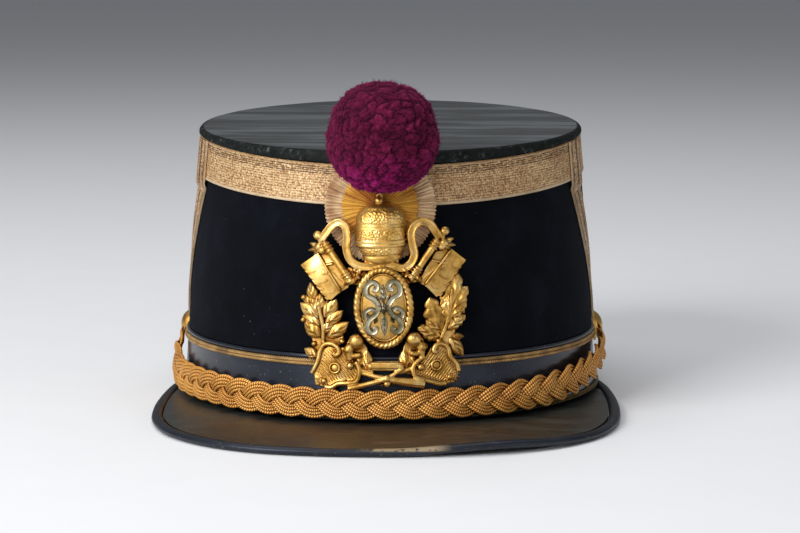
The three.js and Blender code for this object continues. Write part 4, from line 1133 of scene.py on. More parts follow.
def wool_relief(directions, random):
    """How high the clumps and the small curls on them stand, from 0 to 1."""
    sizes = (CLUMPS, CURLS)
    centres = [even_directions(size["count"], size["jitter"], random) for size in sizes]
    ways = [ruffled(directions, size["ruffle"], random) for size in sizes]
    heights = [random.uniform(size["low"], 1.0, size["count"]) for size in sizes]
    return [clump_height(ways[k], centres[k], sizes[k]["groove"], heights[k]) for k in (0, 1)]


def wool_ball():
    random = np.random.default_rng(7)
    nothing_selected()
    bpy.ops.mesh.primitive_ico_sphere_add(subdivisions=7, radius=1)
    ball = bpy.context.object
    ball.name = "wool_ball"
    flat = np.empty(len(ball.data.vertices) * 3)
    ball.data.vertices.foreach_get("co", flat)
    directions = flat.reshape(-1, 3)
    directions = directions / np.linalg.norm(directions, axis=1, keepdims=True)
    lumps, curls = wool_relief(directions, random)
    # A ball cut by hand is a little square and a little uneven
    x, z = directions[:, 0], directions[:, 2]
    shape = 1.0 - 0.012 * (1 - 8 * (x * z) ** 2) + 0.02 * np.sin(3 * x + 1) * np.sin(4 * z)
    radius = (POMPOM["radius"] - 0.8) * shape + CLUMPS["rise"] * lumps + CURLS["rise"] * curls
    centre = np.array([POMPOM["x"], POMPOM["y"], POMPOM["height"]])
    surface = clear_of_hat(centre + directions * radius[:, None])
    ball.data.vertices.foreach_set("co", settled(surface).ravel())
    # The relief's depth paints shade into the grooves between clumps, through the wool's colour ramps;
    # hair tips get less of it
    depth = np.clip(0.5 * lumps + 0.5 * curls, 0, 1)
    chosen = random.choice(len(directions), HAIRS, replace=False)
    ways = directions[chosen] + random.normal(0, 0.8, (HAIRS, 3))
    ways /= np.linalg.norm(ways, axis=1, keepdims=True)
    bends = random.normal(0, 0.5, (HAIRS, 3))
    lengths = random.uniform(0.5, 1.4, HAIRS)
    points, faces = hair_mesh(surface[chosen], ways, bends, lengths, HAIR_WIDTH)
    fuzz_mesh = bpy.data.meshes.new("wool_fuzz")
    fuzz_mesh.from_pydata(settled(clear_of_hat(points)).tolist(), [], faces)
    fuzz = bpy.data.objects.new("wool_fuzz", fuzz_mesh)
    bpy.context.scene.collection.objects.link(fuzz)
    less_shade_to_tips = np.tile([0, 0, 0, 0.1, 0.1, 0.1, 0.3], HAIRS)
    hair_depth = np.clip(np.repeat(depth[chosen], HAIR_POINTS) + less_shade_to_tips, 0, 1)
    for piece, share in ((ball, depth), (fuzz, hair_depth)):
        layer = piece.data.attributes.new("depth", "FLOAT", "POINT")
        layer.data.foreach_set("value", share.astype(np.float32))
    only(ball)
    bpy.ops.object.shade_smooth()
    return joined("wool_pompom", [ball, fuzz])


# Above the first height the wool is duller, below the second brighter and more vivid
DULLER_ABOVE, VIVID_BELOW = 0.106, 0.091


def cut_wool():
    """Dyed wool with cut ends: no gloss, painted shade in the gaps, and duller above, brighter and more
    vivid below.
    """
    material, tree, shader, place = new_material(
        "cut wool yarn", Roughness=1.0, Specular_IOR_Level=0.1, Sheen_Weight=0.32,
        Sheen_Roughness=0.5, Sheen_Tint=colour("#d85c9c"))
    # Low depth is painted dark, as shade in the gaps between clumps and curls
    depth = add(tree, "Attribute", out="Fac", attribute_name="depth")
    duller = add(tree, "ValToRGB", {"Fac": depth},
                stops=[(0.08, "#30071a"), (0.4, "#5c1232"), (0.85, "#7e2048")])
    vivid = add(tree, "ValToRGB", {"Fac": depth},
                stops=[(0.08, "#3a0426"), (0.4, "#760a4c"), (0.85, "#a2186c")])
    level = add(tree, "SeparateXYZ", {0: place}, 2)
    share_below = add(tree, "MapRange", {0: level, 1: DULLER_ABOVE, 2: VIVID_BELOW})
    base = add(tree, "Mix", {0: share_below, 6: duller, 7: vivid}, 2, **BLEND)
    wool = worn_in_patches(tree, place, base, 130, 3, [(0.35, "#b39aa8"), (0.65, "#ffffff")], 0.8)
    yarn = add(tree, "TexNoise", {"Vector": place, "Scale": 1500, "Detail": 4, "Roughness": 0.7})
    woolly = add(tree, "Bump", {"Height": yarn, "Distance": 0.25 * MM, "Strength": 0.9})
    wire(tree, shader, Base_Color=wool, Normal=woolly)
    return material


dress(wool_ball(), cut_wool(), "wool", "pompom")

# %% [markdown]
# The hidden tongue behind the cockade stays as the model has it, with a finish of dull black lacquer.

# %% Tongue
def black_lacquer():
    """Lacquer on sheet steel, left plain because the cockade hides it."""
    material, tree, shader, place = new_material("black lacquered steel", Roughness=0.45, Metallic=0.4)
    coat = add(tree, "TexNoise", {"Vector": place, "Scale": 300, "Detail": 3})
    black = add(tree, "ValToRGB", {"Fac": coat}, stops=[(0.3, "#1b1c1f"), (0.7, "#2b2c30")])
    dents = add(tree, "Bump", {"Height": coat, "Distance": 0.05 * MM, "Strength": 0.4})
    wire(tree, shader, Base_Color=black, Normal=dents)
    return material


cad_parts["pompom_tongue"].material_slots[0].material = black_lacquer()

# %% [markdown]
# The badge is brass sheet, stamped in a die, pierced and gilded. It is drawn flat first, in
# millimetres about the middle of its oval: u to the right, v up and w out of the sheet. Each leaf,
# staff, ribbon and plate is a small closed form that sinks into its neighbours, as relief does. Most
# are fused into one skin, whose inner corners come out soft, as a die leaves them. The rope, leaves,
# flags and hatching have detail finer than the fusing, so they are joined to it as they are. Then one
# rule leans the badge over a little and curves it to the front of the hat.

# %% Flat forms for the badge
def flat_strip(name, columns, rows, rule, smooth_angle=40):
    """Like strip, but left flat and in millimetres, for joining into the badge."""
    return finish_mesh(grid(name, columns, rows, rule), smooth_angle, same_point=1e-4, no_area=0)


def swept(name, points, section, width, steps):
    """A closed section carried along a route of (u, v, w) points. Width may change on the way."""
    route = smooth_route(points, 400)
    section = np.array(list(section) + list(section)[:1], float)

    def rule(along, around):
        at = along * (len(route) - 1)
        whole = np.arange(len(route))
        middle = np.stack([np.interp(at, whole, route[:, k]) for k in range(3)], axis=-1)
        ways = np.gradient(route, axis=0)
        way = np.stack([np.interp(at, whole, ways[:, k]) for k in (0, 1)], axis=-1)
        way /= np.linalg.norm(way, axis=1, keepdims=True)
        across, up = picked(section, around)
        size = width(along) if callable(width) else width
        size = size * np.where((along < 1e-6) | (along > 1 - 1e-6), 0.0, 1.0)
        middle[:, 0] -= way[:, 1] * across * size
        middle[:, 1] += way[:, 0] * across * size
        middle[:, 2] += up * size
        return middle

    return flat_strip(name, steps, len(section) - 1, rule)


def round_section(sides, squash=1.0):
    turns = np.linspace(0, TURN, sides, endpoint=False)
    return [(math.cos(turn), squash * math.sin(turn)) for turn in turns]


ROUND = round_section(10)
# A flat strap with a raised edge on each side and a groove between them
STRAP = [(-1.0, -0.5), (-1.0, 0.35), (-0.8, 0.62), (-0.5, 0.42), (0.0, 0.34),
         (0.5, 0.42), (0.8, 0.62), (1.0, 0.35), (1.0, -0.5)]


def rod(name, start, end, radius, squash=1.0, steps=24):
    middle = [(a + b) / 2 for a, b in zip(start, end)]
    return swept(name, [start, middle, end], round_section(10, squash), radius, steps)


def knob(u, v, w, radius, squash=1.0):
    nothing_selected()
    bpy.ops.mesh.primitive_uv_sphere_add(segments=20, ring_count=12, radius=radius, location=(u, v, w))
    piece = bpy.context.object
    open_for_edits(piece)
    bpy.ops.transform.resize(value=(1, 1, squash))
    bpy.ops.object.mode_set(mode="OBJECT")
    bpy.ops.object.transform_apply()
    bpy.ops.object.shade_smooth()
    return piece


def ring_of_wire(u, v, w, radius, wire_radius):
    nothing_selected()
    bpy.ops.mesh.primitive_torus_add(location=(u, v, w), major_radius=radius,
                                     minor_radius=wire_radius, major_segments=28, minor_segments=8)
    piece = bpy.context.object
    bpy.ops.object.transform_apply()
    bpy.ops.object.shade_smooth()
    return piece


def plate(name, outline, thickness, edge=0.35):
    """A flat plate: a filled circle whose corners are moved to the outline, pulled up and bevelled."""
    nothing_selected()
    bpy.ops.mesh.primitive_circle_add(vertices=len(outline), radius=1, fill_type="NGON")
    piece = bpy.context.object
    piece.name = name
    for corner, (u, v) in zip(piece.data.vertices, outline):
        corner.co = (u, v, 0.0)
    open_for_edits(piece)
    bpy.ops.mesh.extrude_region_move(TRANSFORM_OT_translate={"value": (0, 0, thickness)})
    bpy.ops.mesh.region_to_loop()
    bpy.ops.mesh.bevel(offset=edge, segments=2, affect="EDGES")
    bpy.ops.mesh.select_all(action="SELECT")
    bpy.ops.mesh.normals_make_consistent(inside=False)
    bpy.ops.mesh.quads_convert_to_tris()
    bpy.ops.object.mode_set(mode="OBJECT")
    bpy.ops.object.shade_smooth_by_angle(angle=math.radians(35))
    return piece


MIDRIB_HEIGHT, MIDRIB_WIDTH, VEIN_HEIGHT = 0.5, 0.14, 0.17


def leaf(base, tip, width, lobes=0, ribs=3, low=0.2, rise=1.5, steps=30):
    """A stamped leaf: a pointed dome with a midrib and slanting veins, lobed where it is oak."""
    base, tip = np.array(base, float), np.array(tip, float)
    way = tip - base
    length = np.linalg.norm(way)
    way = way / length
    across = np.array([-way[1], way[0]])
    top = [(share, 1.0) for share in np.linspace(-1, 1, 15)]
    section = np.array(top + [(0.0, 0.0)] + top[:1])

    def rule(along, around):
        side, up = picked(section, around)
        plump = np.clip(np.sin(math.pi * along ** 0.85), 0, 1) ** (0.6 if lobes else 0.8)
        lobed = 0.78 + 0.28 * np.abs(np.sin(math.pi * lobes * along)) if lobes else 1.0
        reach = side * width / 2 * plump * lobed
        dome = rise * (1 - side ** 2) ** 0.6 * (0.35 + 0.65 * plump)
        midrib = MIDRIB_HEIGHT * np.exp(-(side / MIDRIB_WIDTH) ** 2) * plump
        veins = VEIN_HEIGHT * np.cos(TURN * ribs * (along - 0.6 * np.abs(side))) * (1 - side ** 2)
        height = low + (dome + midrib + veins * plump)
        spot = base + way * (along * length)[:, None] + across * reach[:, None]
        return np.column_stack([spot, np.where(up > 0.5, height, -0.1)])

    return flat_strip("leaf", steps, len(section) - 1, rule, 60)


def sided(points, side):
    """The right half's points, turned over to the left when side is -1."""
    return [(side * point[0], *point[1:]) for point in points]


# %% [markdown]
# The middle of the badge is an oval with a rope for its edge, a thin wire inside that, and a low
# domed field. The rope is one tube whose radius swells slantwise, which looks like twisted strands at
# this size and takes far fewer points. Plain scrollwork round a rosette fills the field.

# %% Oval shield
OVAL_HALF_U, OVAL_HALF_V = 9.4, 13.9
ROPE = {"level": 2.3, "radius": 1.04, "swell": 0.36, "strands": 20}
BEAD = {"half_u": 7.9, "half_v": 12.3, "level": 2.6, "radius": 0.35}


def rope_oval():
    """The oval's edge: a tube whose swellings run slantwise round it, as a rope's strands do."""
    def rule(along, around):
        turn, twist = TURN * along, TURN * around
        strand = np.abs(np.sin(ROPE["strands"] * turn + 1.5 * twist + 0.25)) ** 0.8
        bulge = ROPE["radius"] + ROPE["swell"] * strand
        reach = bulge * np.cos(twist)
        u = (OVAL_HALF_U + reach) * np.sin(turn)
        v = (OVAL_HALF_V + reach) * np.cos(turn)
        return np.stack([u, v, ROPE["level"] + 1.05 * bulge * np.sin(twist)], axis=-1)

    return flat_strip("rope_oval", 360, 16, rule, 80)


def domed_field():
    """The field inside the oval, in rows of reach and height from its middle out and back under."""
    rows = np.array([(0.0, 3.6), (0.2, 3.58), (0.4, 3.42), (0.6, 3.16), (0.75, 2.85), (0.86, 2.5),
                     (0.92, 2.3), (0.94, 0.2), (0.0, 0.0)])

    def rule(along, around):
        reach, up = picked(rows, around)
        turn = TURN * along
        u, v = OVAL_HALF_U * reach * np.sin(turn), OVAL_HALF_V * reach * np.cos(turn)
        return np.stack([u, v, up], axis=-1)

    return flat_strip("domed_field", 72, len(rows) - 1, rule, 50)


def bead_line():
    """A thin wire in an oval, between the rope and the field."""
    def rule(along, around):
        turn, ring = TURN * along, TURN * around
        u = (BEAD["half_u"] + BEAD["radius"] * np.cos(ring)) * np.sin(turn)
        v = (BEAD["half_v"] + BEAD["radius"] * np.cos(ring)) * np.cos(turn)
        return np.stack([u, v, BEAD["level"] + BEAD["radius"] * np.sin(ring)], axis=-1)

    return flat_strip("bead_line", 96, 8, rule, 80)


# The left arms of the scrollwork
SCROLL_ARM = [
    (-3.7, -6.9, 3.5), (-3.0, -8.0, 3.6), (-4.5, -9.0, 3.5), (-6.0, -7.2, 3.4), (-5.2, -4.4, 3.5),
    (-2.6, -2.0, 3.8), (-1.7, 0.6, 3.9), (-3.2, 3.3, 3.8), (-5.8, 5.2, 3.5), (-5.7, 8.2, 3.3),
    (-3.7, 9.6, 3.4), (-2.0, 8.4, 3.5), (-2.5, 6.8, 3.6), (-3.8, 7.2, 3.6),
]
BRANCH_ARM = [
    (-2.3, -1.6, 3.8), (-4.6, -0.2, 3.7), (-6.6, -1.6, 3.4), (-6.2, -3.4, 3.4), (-4.8, -2.8, 3.5),
]
ROSETTE_LEAVES, ROSETTE_RADIUS = 6, 2.5


def silver_scrolls():
    """Plain scrollwork round a rosette, in silvered brass, which fills the oval."""
    pieces = []
    for side in (-1, 1):
        for route, width in ((SCROLL_ARM, 1.0), (BRANCH_ARM, 0.8)):
            pieces.append(swept("scroll_arm", sided(route, -side), STRAP, width, 90))
        for base, tip, low in (((1.2, 2.2), (2.6, 5.2), 3.2), ((2.2, -3.4), (3.6, -5.8), 3.1)):
            pieces.append(leaf(*sided([base, tip], side), 1.8, ribs=2, low=low, rise=0.7))
    for level, width in ((8.8, 2.6), (-10.4, 2.8)):
        pieces.append(leaf((0.0, level * 0.16), (0.0, level), width, ribs=4, low=3.1, rise=0.9))
    for step in range(ROSETTE_LEAVES):
        turn = TURN * step / ROSETTE_LEAVES
        tip = (ROSETTE_RADIUS * math.sin(turn), ROSETTE_RADIUS * math.cos(turn))
        pieces.append(leaf((0.0, 0.0), tip, 1.7, ribs=1, low=3.6, rise=0.7))
    pieces.append(knob(0.0, 0.0, 4.5, 0.75))
    return pieces


# %% [markdown]
# Over the oval stands a round cap in half relief. It is a section turned through half a circle, and a
# table gives its half width at each level. The spots of its three bands are too many to place one by
# one, so a rule pushes them out of its wall.

# %% Domed cap with three bands
# Rows of half the cap's width and the level that it has there
CAP_ROWS = [
    (4.8, 16.4), (6.3, 17.2), (6.9, 18.0), (7.1, 18.7), (6.8, 19.2), (7.3, 19.8), (8.0, 21.0),
    (8.6, 22.2), (9.4, 22.7), (9.8, 23.3), (9.4, 23.7), (9.5, 24.1), (9.9, 24.7), (9.3, 25.2),
    (9.4, 26.6), (9.2, 28.4), (9.5, 28.9), (9.5, 29.5), (9.1, 29.8), (9.4, 30.3), (9.0, 30.8),
    (9.1, 32.2), (8.7, 33.8), (7.8, 35.3), (6.0, 36.7), (3.5, 37.7), (0.0, 38.1),
]
# Rows of a band's middle level and half its height
CAP_BANDS = [(20.9, 1.3), (26.9, 1.8), (33.8, 3.0)]
CAP_MIDDLE = 0.1
CAP_BASE, CAP_BULGE, CAP_RAISED = 0.8, 0.46, 0.45
SPOT_PITCH, SPOT_ROW_PITCH = 1.25, 1.1


def cap_relief(u, v):
    """Rosettes and buds in rows round the three bands, as one field of raised spots."""
    random = np.random.default_rng(3)
    raised = np.zeros_like(u)
    for middle, reach in CAP_BANDS:
        rows = max(2, round(2 * reach / 1.15))
        for row in range(rows):
            level = middle + (row - (rows - 1) / 2) * SPOT_ROW_PITCH
            for spot in np.arange(-8.4, 8.5, SPOT_PITCH) + 0.6 * (row % 2):
                spot_u, spot_v = spot + random.normal(0, 0.12), level + random.normal(0, 0.12)
                away = np.hypot(u - CAP_MIDDLE - spot_u, v - spot_v + 0.5)
                if random.random() < 0.3:
                    shape = np.exp(-((away - 0.55) / 0.22) ** 2)
                else:
                    shape = np.exp(-(away / random.uniform(0.32, 0.5)) ** 2)
                raised = np.maximum(raised, random.uniform(0.6, 1.0) * shape)
    return raised


def domed_cap():
    profile = np.array(CAP_ROWS)
    fine = np.linspace(0, len(profile) - 1, 5 * len(profile))
    rows = np.stack([np.interp(fine, np.arange(len(profile)), profile[:, k]) for k in (0, 1)], axis=-1)

    def rule(along, around):
        half, up = picked(rows, around)
        turn = math.pi * (along - 0.5)
        sag = 0.5 * np.cos(turn) * (up < 36)
        u, v = half * np.sin(turn) + CAP_MIDDLE, up - sag
        in_band = sum(np.exp(-((up - middle) / reach) ** 6) for middle, reach in CAP_BANDS)
        raised = CAP_RAISED * in_band * cap_relief(u, v)
        wall = (along > 1e-6) & (along < 1 - 1e-6)
        front = np.clip(1 - np.abs(np.sin(turn)) ** 2.6, 0, 1) ** 0.7
        w = wall * (CAP_BASE + CAP_BULGE * half * front + raised * front ** 0.5)
        return np.stack([u, v, w], axis=-1)

    shell = flat_strip("domed_cap", 200, len(rows) - 1, rule, 60)
    open_for_edits(shell)
    bpy.ops.mesh.region_to_loop()
    bpy.ops.mesh.edge_face_add()
    bpy.ops.mesh.select_all(action="SELECT")
    bpy.ops.mesh.normals_make_consistent(inside=False)
    bpy.ops.object.mode_set(mode="OBJECT")
    return [shell, knob(-0.3, 38.9, 1.6, 1.5, 0.9), ring_of_wire(0.0, 40.7, 1.6, 0.75, 0.45)]


# %% [markdown]
# A staff with rolled collars comes out from behind the oval on each side, a ribbon loops up beside
# the cap, and a flag hangs from each staff. A staff is a rod whose radius changes along it, a ribbon
# is a flat strap carried along a route, and a flag is a plate with thin rods for its folds.

# %% Staffs, ribbons and banners
# Places on the badge are (u, v, w), and -1 and 1 stand for its left and right side
RIBBONS = {-1: [
    (1.2, 16.2, 2.4), (-5.0, 15.1, 2.2), (-8.8, 15.8, 2.2), (-11.2, 17.8, 2.3), (-12.4, 22.0, 2.5),
    (-12.0, 26.4, 2.7), (-12.7, 30.2, 2.8), (-14.8, 31.5, 2.8), (-17.1, 30.4, 2.7), (-19.4, 27.8, 2.6),
    (-21.6, 24.9, 2.4),
], 1: [
    (-1.2, 16.2, 2.4), (4.0, 15.1, 2.2), (7.3, 14.2, 2.2), (10.0, 15.6, 2.3), (11.5, 18.6, 2.5),
    (11.0, 23.0, 2.6), (10.8, 27.0, 2.7), (12.2, 29.7, 2.8), (14.7, 30.9, 2.8), (17.3, 29.9, 2.7),
    (19.0, 27.4, 2.6), (20.9, 24.2, 2.4),
]}
STAFFS = {-1: [(-20.6, 24.2, 1.8), (-10.7, 9.0, 1.8)], 1: [(20.4, 24.0, 1.8), (10.0, 10.0, 1.8)]}
STAFF_RADIUS = 1.25
# Rows of a collar's share of the way down and how far it stands out
STAFF_COLLARS = [
    (0.06, 0.5), (0.13, 0.75), (0.2, 0.6), (0.72, 0.5), (0.78, 0.8), (0.84, 0.5), (0.93, 0.5),
]
# Rows of u, v and radius
STAFF_KNOBS = [(22.8, 26.8, 1.6), (21.6, 24.9, 1.2), (22.4, 22.6, 1.5), (21.4, 21.2, 1.3)]
STAFF_HEAD = (21.4, 22.0)
STAFF_HEAD_TIPS = [(26.4, 23.9), (27.0, 21.2), (25.0, 19.4)]
# Rows of a leaf's base and tip
STAFF_FOOT_LEAVES = [
    [(9.4, 12.6), (6.8, 14.6)], [(9.6, 12.4), (7.4, 10.2)], [(10.0, 11.6), (10.4, 8.6)],
    [(12.0, 11.4), (13.8, 8.4)], [(8.8, 13.4), (10.8, 14.6)],
]


def staff_width(along):
    """The staff's radius along it: a plain rod with rolled collars and a bud at its foot."""
    radius = np.full_like(along, STAFF_RADIUS)
    for middle, extra in STAFF_COLLARS:
        radius = radius + extra * np.exp(-((along - middle) / 0.02) ** 2)
    return radius


def staff(side):
    start, end = STAFFS[side]
    middle = tuple((a + b) / 2 for a, b in zip(start, end))
    pieces = [swept("staff", [start, middle, end], round_section(14, 0.95), staff_width, 110)]
    pieces += [knob(side * u, v, 1.8, radius, 0.9) for u, v, radius in STAFF_KNOBS]
    pieces += [leaf(*sided([STAFF_HEAD, tip], side), 2.3, rise=1.6) for tip in STAFF_HEAD_TIPS]
    return pieces + [leaf(*sided(ends, side), 2.2, low=1.3) for ends in STAFF_FOOT_LEAVES]


BANNER_CORNERS = {
    -1: {"inner": (-22.9, 20.4), "outer": (-29.6, 15.9), "low": (-20.4, 2.8), "fold": (-15.2, 6.0)},
    1: {"inner": (24.9, 20.2), "outer": (30.1, 15.6), "low": (20.5, 2.8), "fold": (15.0, 7.2)},
}
BANNER_INSIDE = {-1: [(-12.6, 7.4), (-12.0, 9.2), (-20.2, 21.3)], 1: [(12.6, 8.6), (19.6, 19.6)]}
# Rows of a nick's share of the way down the outer edge, and its depth
BANNER_NICKS = [(0.12, 0.9), (0.25, 1.5), (0.4, 0.9), (0.56, 2.0), (0.7, 1.0), (0.86, 1.4)]
# Rows of a crease's share of the way down, and the shares of the way in where it starts and ends
BANNER_CREASES = [
    (0.25, 0.1, 0.5), (0.56, 0.15, 0.75), (0.7, 0.05, 0.3), (0.4, 0.6, 0.95), (0.86, 0.3, 0.8),
]
BANNER_FACE = 1.6


def banner_corners(side):
    return {name: np.array(place) for name, place in BANNER_CORNERS[side].items()}


def banner(side):
    """A hanging flag: a field with a nicked outer edge, fine creases and a sharp fold."""
    spot = banner_corners(side)
    edge = spot["low"] - spot["outer"]
    inner_edge = spot["fold"] - spot["inner"]
    inward = np.array([-side * 0.9, -0.5])
    corners = [spot["inner"], spot["outer"]]
    for share, depth in BANNER_NICKS:
        for step, cut in ((-0.03, 0.0), (0.0, depth), (0.02, 0.0)):
            corners.append(spot["outer"] + edge * (share + step) + inward * cut)
    corners += [spot["low"], spot["fold"]]
    pieces = [plate("banner", corners, BANNER_FACE, 0.2)]
    for share, near, far in BANNER_CREASES:
        outer, inner = spot["outer"] + edge * share, spot["inner"] + inner_edge * (share + 0.06)
        start, end = outer + (inner - outer) * near, outer + (inner - outer) * far
        bent = (start + end) / 2 + edge * 0.03
        route = [(*point, BANNER_FACE) for point in (start, bent, end)]
        pieces.append(swept("crease", route, round_section(6, 0.8), 0.2, 14))
    start, end = spot["fold"] + [0, 0.4], spot["inner"] - [0, 0.4]
    pieces.append(rod("fold", (*start, 1.65), (*end, 1.65), 0.42))
    return pieces


def gathers(side):
    """The gathered cloth between the flag's fold and its staff, fused with the rest."""
    spot = banner_corners(side)
    fold, top = spot["fold"], spot["inner"]
    inside = [np.array(place) for place in BANNER_INSIDE[side]]
    pieces = [plate("gathers", [fold] + inside + [top], 1.1, 0.2)]
    for step in (0.28, 0.5, 0.72):
        start = fold + (inside[0] - fold) * step + [0, 0.6]
        end = top + (inside[-1] - top) * step - [0, 5.2]
        pieces.append(rod("gather", (*start, 1.0), (*end, 1.1), 0.42))
    hem = top * 0.72 + inside[-1] * 0.28 - [0, 4.0]
    route = [(*(top - [0, 2.4]), 0.8), (*(hem - [0, 0.6]), 1.0), (side * 17.6, 16.4, 1.2)]
    pieces.append(swept("drape", route, ROUND, 0.5, 24))
    return pieces


def ribbon(side):
    return [swept("ribbon", RIBBONS[side], STRAP, 1.42, 90)]


# %% [markdown]
# Laurel grows up the left side and oak up the right. A leaf needs only its base, its tip and its
# width, so a spray is a table of leaves in layers, each a little higher than the one before.

# %% Laurel and oak sprays
# Rows of a leaf's base, its tip and its width
LAUREL = [
    ((-25.3, 2.0), (-26.7, 9.6), 4.6), ((-25.5, 1.0), (-29.6, 4.6), 4.0),
    ((-24.2, -1.6), (-22.8, 5.6), 5.4),
    ((-23.4, -4.0), (-30.6, 1.8), 6.4), ((-23.6, -3.4), (-26.2, 4.6), 5.6),
    ((-22.2, -4.0), (-17.0, 3.4), 5.8),
    ((-23.0, -6.6), (-30.0, -2.8), 5.2), ((-22.0, -6.6), (-14.8, -0.9), 5.0),
    ((-23.4, -10.8), (-29.2, -4.8), 6.0), ((-21.0, -10.8), (-12.8, -5.2), 5.2),
    ((-22.4, -9.0), (-18.4, -4.6), 4.4), ((-24.6, -18.2), (-29.6, -14.9), 4.2),
]
OAK = [
    ((23.4, -4.8), (27.2, 11.2), 8.4), ((23.0, -4.4), (30.6, 5.8), 6.6),
    ((23.2, -5.4), (29.9, 0.4), 6.2), ((20.8, -11.6), (16.6, 2.8), 8.6),
    ((20.4, -12.0), (11.8, -8.2), 6.4), ((21.6, -10.8), (15.0, -5.4), 5.4),
    ((22.2, -9.4), (29.4, -4.7), 5.0), ((22.8, -8.0), (23.4, 3.4), 5.6),
]
SMALL_LEAVES = [((23.4, -12.6), (28.2, -20.0), 4.8), ((24.0, -12.2), (28.8, -12.8), 2.8)]
GROUNDS = [
    [(-24.6, 3.6), (-27.6, 2.0), (-28.4, -3.0), (-27.2, -8.6), (-26.6, -14.0), (-25.6, -18.0),
     (-22.0, -15.0), (-17.0, -14.4), (-15.0, -11.6), (-15.8, -7.4), (-17.2, -1.0), (-20.6, 2.4)],
    [(24.4, 6.4), (28.0, 4.4), (28.2, -2.0), (26.4, -6.6), (25.0, -12.4), (27.2, -13.2), (26.2, -18.4),
     (23.8, -17.0), (21.0, -14.6), (15.0, -12.8), (13.6, -9.2), (15.4, -8.0), (16.6, -2.2),
     (19.6, -2.6), (21.4, 3.0)],
]
STEMS = [
    [(-22.6, -13.2, 1.3), (-22.3, -6.2, 1.7), (-24.3, 3.8, 1.5)],
    [(20.0, -13.0, 1.3), (22.9, -5.3, 1.7), (24.9, 6.0, 1.5)],
]
BERRIES = [(-29.5, -4.4), (-29.0, 4.0), (-15.6, -12.2), (-25.9, -13.2), (19.2, -13.4), (14.4, -15.0)]


def spray_leaves():
    """Leaves in layers, each a little higher than the one before, kept sharp after the fusing."""
    leaves = [leaf(*row, low=0.2 + 0.07 * layer, steps=44) for layer, row in enumerate(LAUREL)]
    leaves += [leaf(*row, lobes=4, low=0.2 + 0.07 * layer, steps=44) for layer, row in enumerate(OAK)]
    return leaves + [leaf(*row, steps=40) for row in SMALL_LEAVES]


def sprays():
    """Stems and berries on a thin ground of the same sheet, so that no gap opens between leaves."""
    pieces = [plate("ground", outline, 0.7, 0.2) for outline in GROUNDS]
    pieces += [swept("stem", points, round_section(8), 0.7, 30) for points in STEMS]
    return pieces + [knob(u, v, 1.3, 0.95) for u, v in BERRIES]


# %% [markdown]
# Below the oval are two plates with scrolled edges and fine slanting ridges, and between them a bar
# over two crossed rods. Each ridge is cut to length where its line meets the plate's outline, so the
# table holds only the outline.

# %% Scroll plates, bar and crossed rods
PLATES = {
    -1: [(-26.3, -24.8), (-24.5, -20.6), (-23.0, -15.5), (-20.6, -13.8), (-17.9, -14.7), (-14.8, -14.4),
         (-13.3, -18.0), (-10.9, -20.3), (-9.9, -23.3), (-10.8, -27.2), (-14.7, -26.4), (-19.2, -27.8),
         (-22.6, -29.0), (-25.9, -28.2)],
    1: [(10.3, -21.3), (12.0, -19.7), (14.2, -18.8), (16.5, -15.6), (19.8, -15.0), (22.5, -16.6),
        (24.0, -20.6), (25.8, -23.6), (25.7, -27.0), (24.2, -29.1), (20.1, -29.4), (16.6, -28.2),
        (12.3, -27.0), (10.2, -25.2)],
}
SCROLLS = {
    -1: [[(-18.4, -15.8, 2.2), (-18.2, -17.3, 2.1), (-16.8, -16.6, 2.0), (-17.0, -14.7, 2.0),
          (-19.2, -13.1, 2.0), (-22.0, -13.4, 2.0), (-23.5, -15.5, 2.0), (-24.4, -18.9, 2.0),
          (-26.2, -22.6, 2.0), (-27.2, -24.2, 1.6)],
         [(-10.8, -19.4, 1.8), (-9.6, -22.8, 1.9), (-10.8, -26.8, 1.9), (-13.9, -27.4, 1.9),
          (-17.5, -27.6, 1.9), (-20.3, -29.0, 1.9), (-22.5, -28.5, 1.9)]],
    1: [[(18.6, -17.4, 2.2), (17.3, -17.0, 2.1), (17.9, -15.1, 2.0), (19.8, -14.4, 2.0),
         (22.2, -16.0, 2.0), (23.2, -19.5, 2.0), (25.3, -22.4, 2.0), (26.0, -25.3, 1.8)],
        [(14.2, -18.5, 1.8), (11.4, -20.2, 1.9), (9.7, -22.4, 2.0), (10.2, -25.5, 2.0),
         (13.4, -27.1, 2.0), (16.6, -28.2, 1.9), (19.3, -29.1, 1.9), (21.5, -28.9, 1.9)]],
}
PLATE_RING = {-1: (-18.5, -21.9), 1: (18.1, -22.1)}
PLATE_BALL = {-1: (-12.8, -21.1), 1: (12.5, -22.5)}
PLATE_CORNER = {-1: (-22.6, -26.6), 1: (22.6, -26.8)}
# Rows of a leaf's reach and the angle at which it leaves the corner
CORNER_LEAVES = [(4.6, 155), (4.2, 190), (4.4, 225), (3.8, 262), (3.4, 120), (3.0, 300)]
HATCH_PITCH, HATCH_MARGIN, SHORTEST_HATCH = 0.95, 0.9, 2.6


def crossings(outline, start, way):
    """Where a straight line meets the sides of an outline, as shares of its way."""
    found = []
    for (x1, y1), (x2, y2) in zip(outline, outline[1:] + outline[:1]):
        side = np.array([x2 - x1, y2 - y1])
        turn = way[0] * side[1] - way[1] * side[0]
        if abs(turn) < 1e-9:
            continue
        gap = np.array([x1, y1]) - start
        share = (gap[0] * way[1] - gap[1] * way[0]) / turn
        if 0 <= share < 1:
            found.append((gap[0] * side[1] - gap[1] * side[0]) / turn)
    return sorted(found)


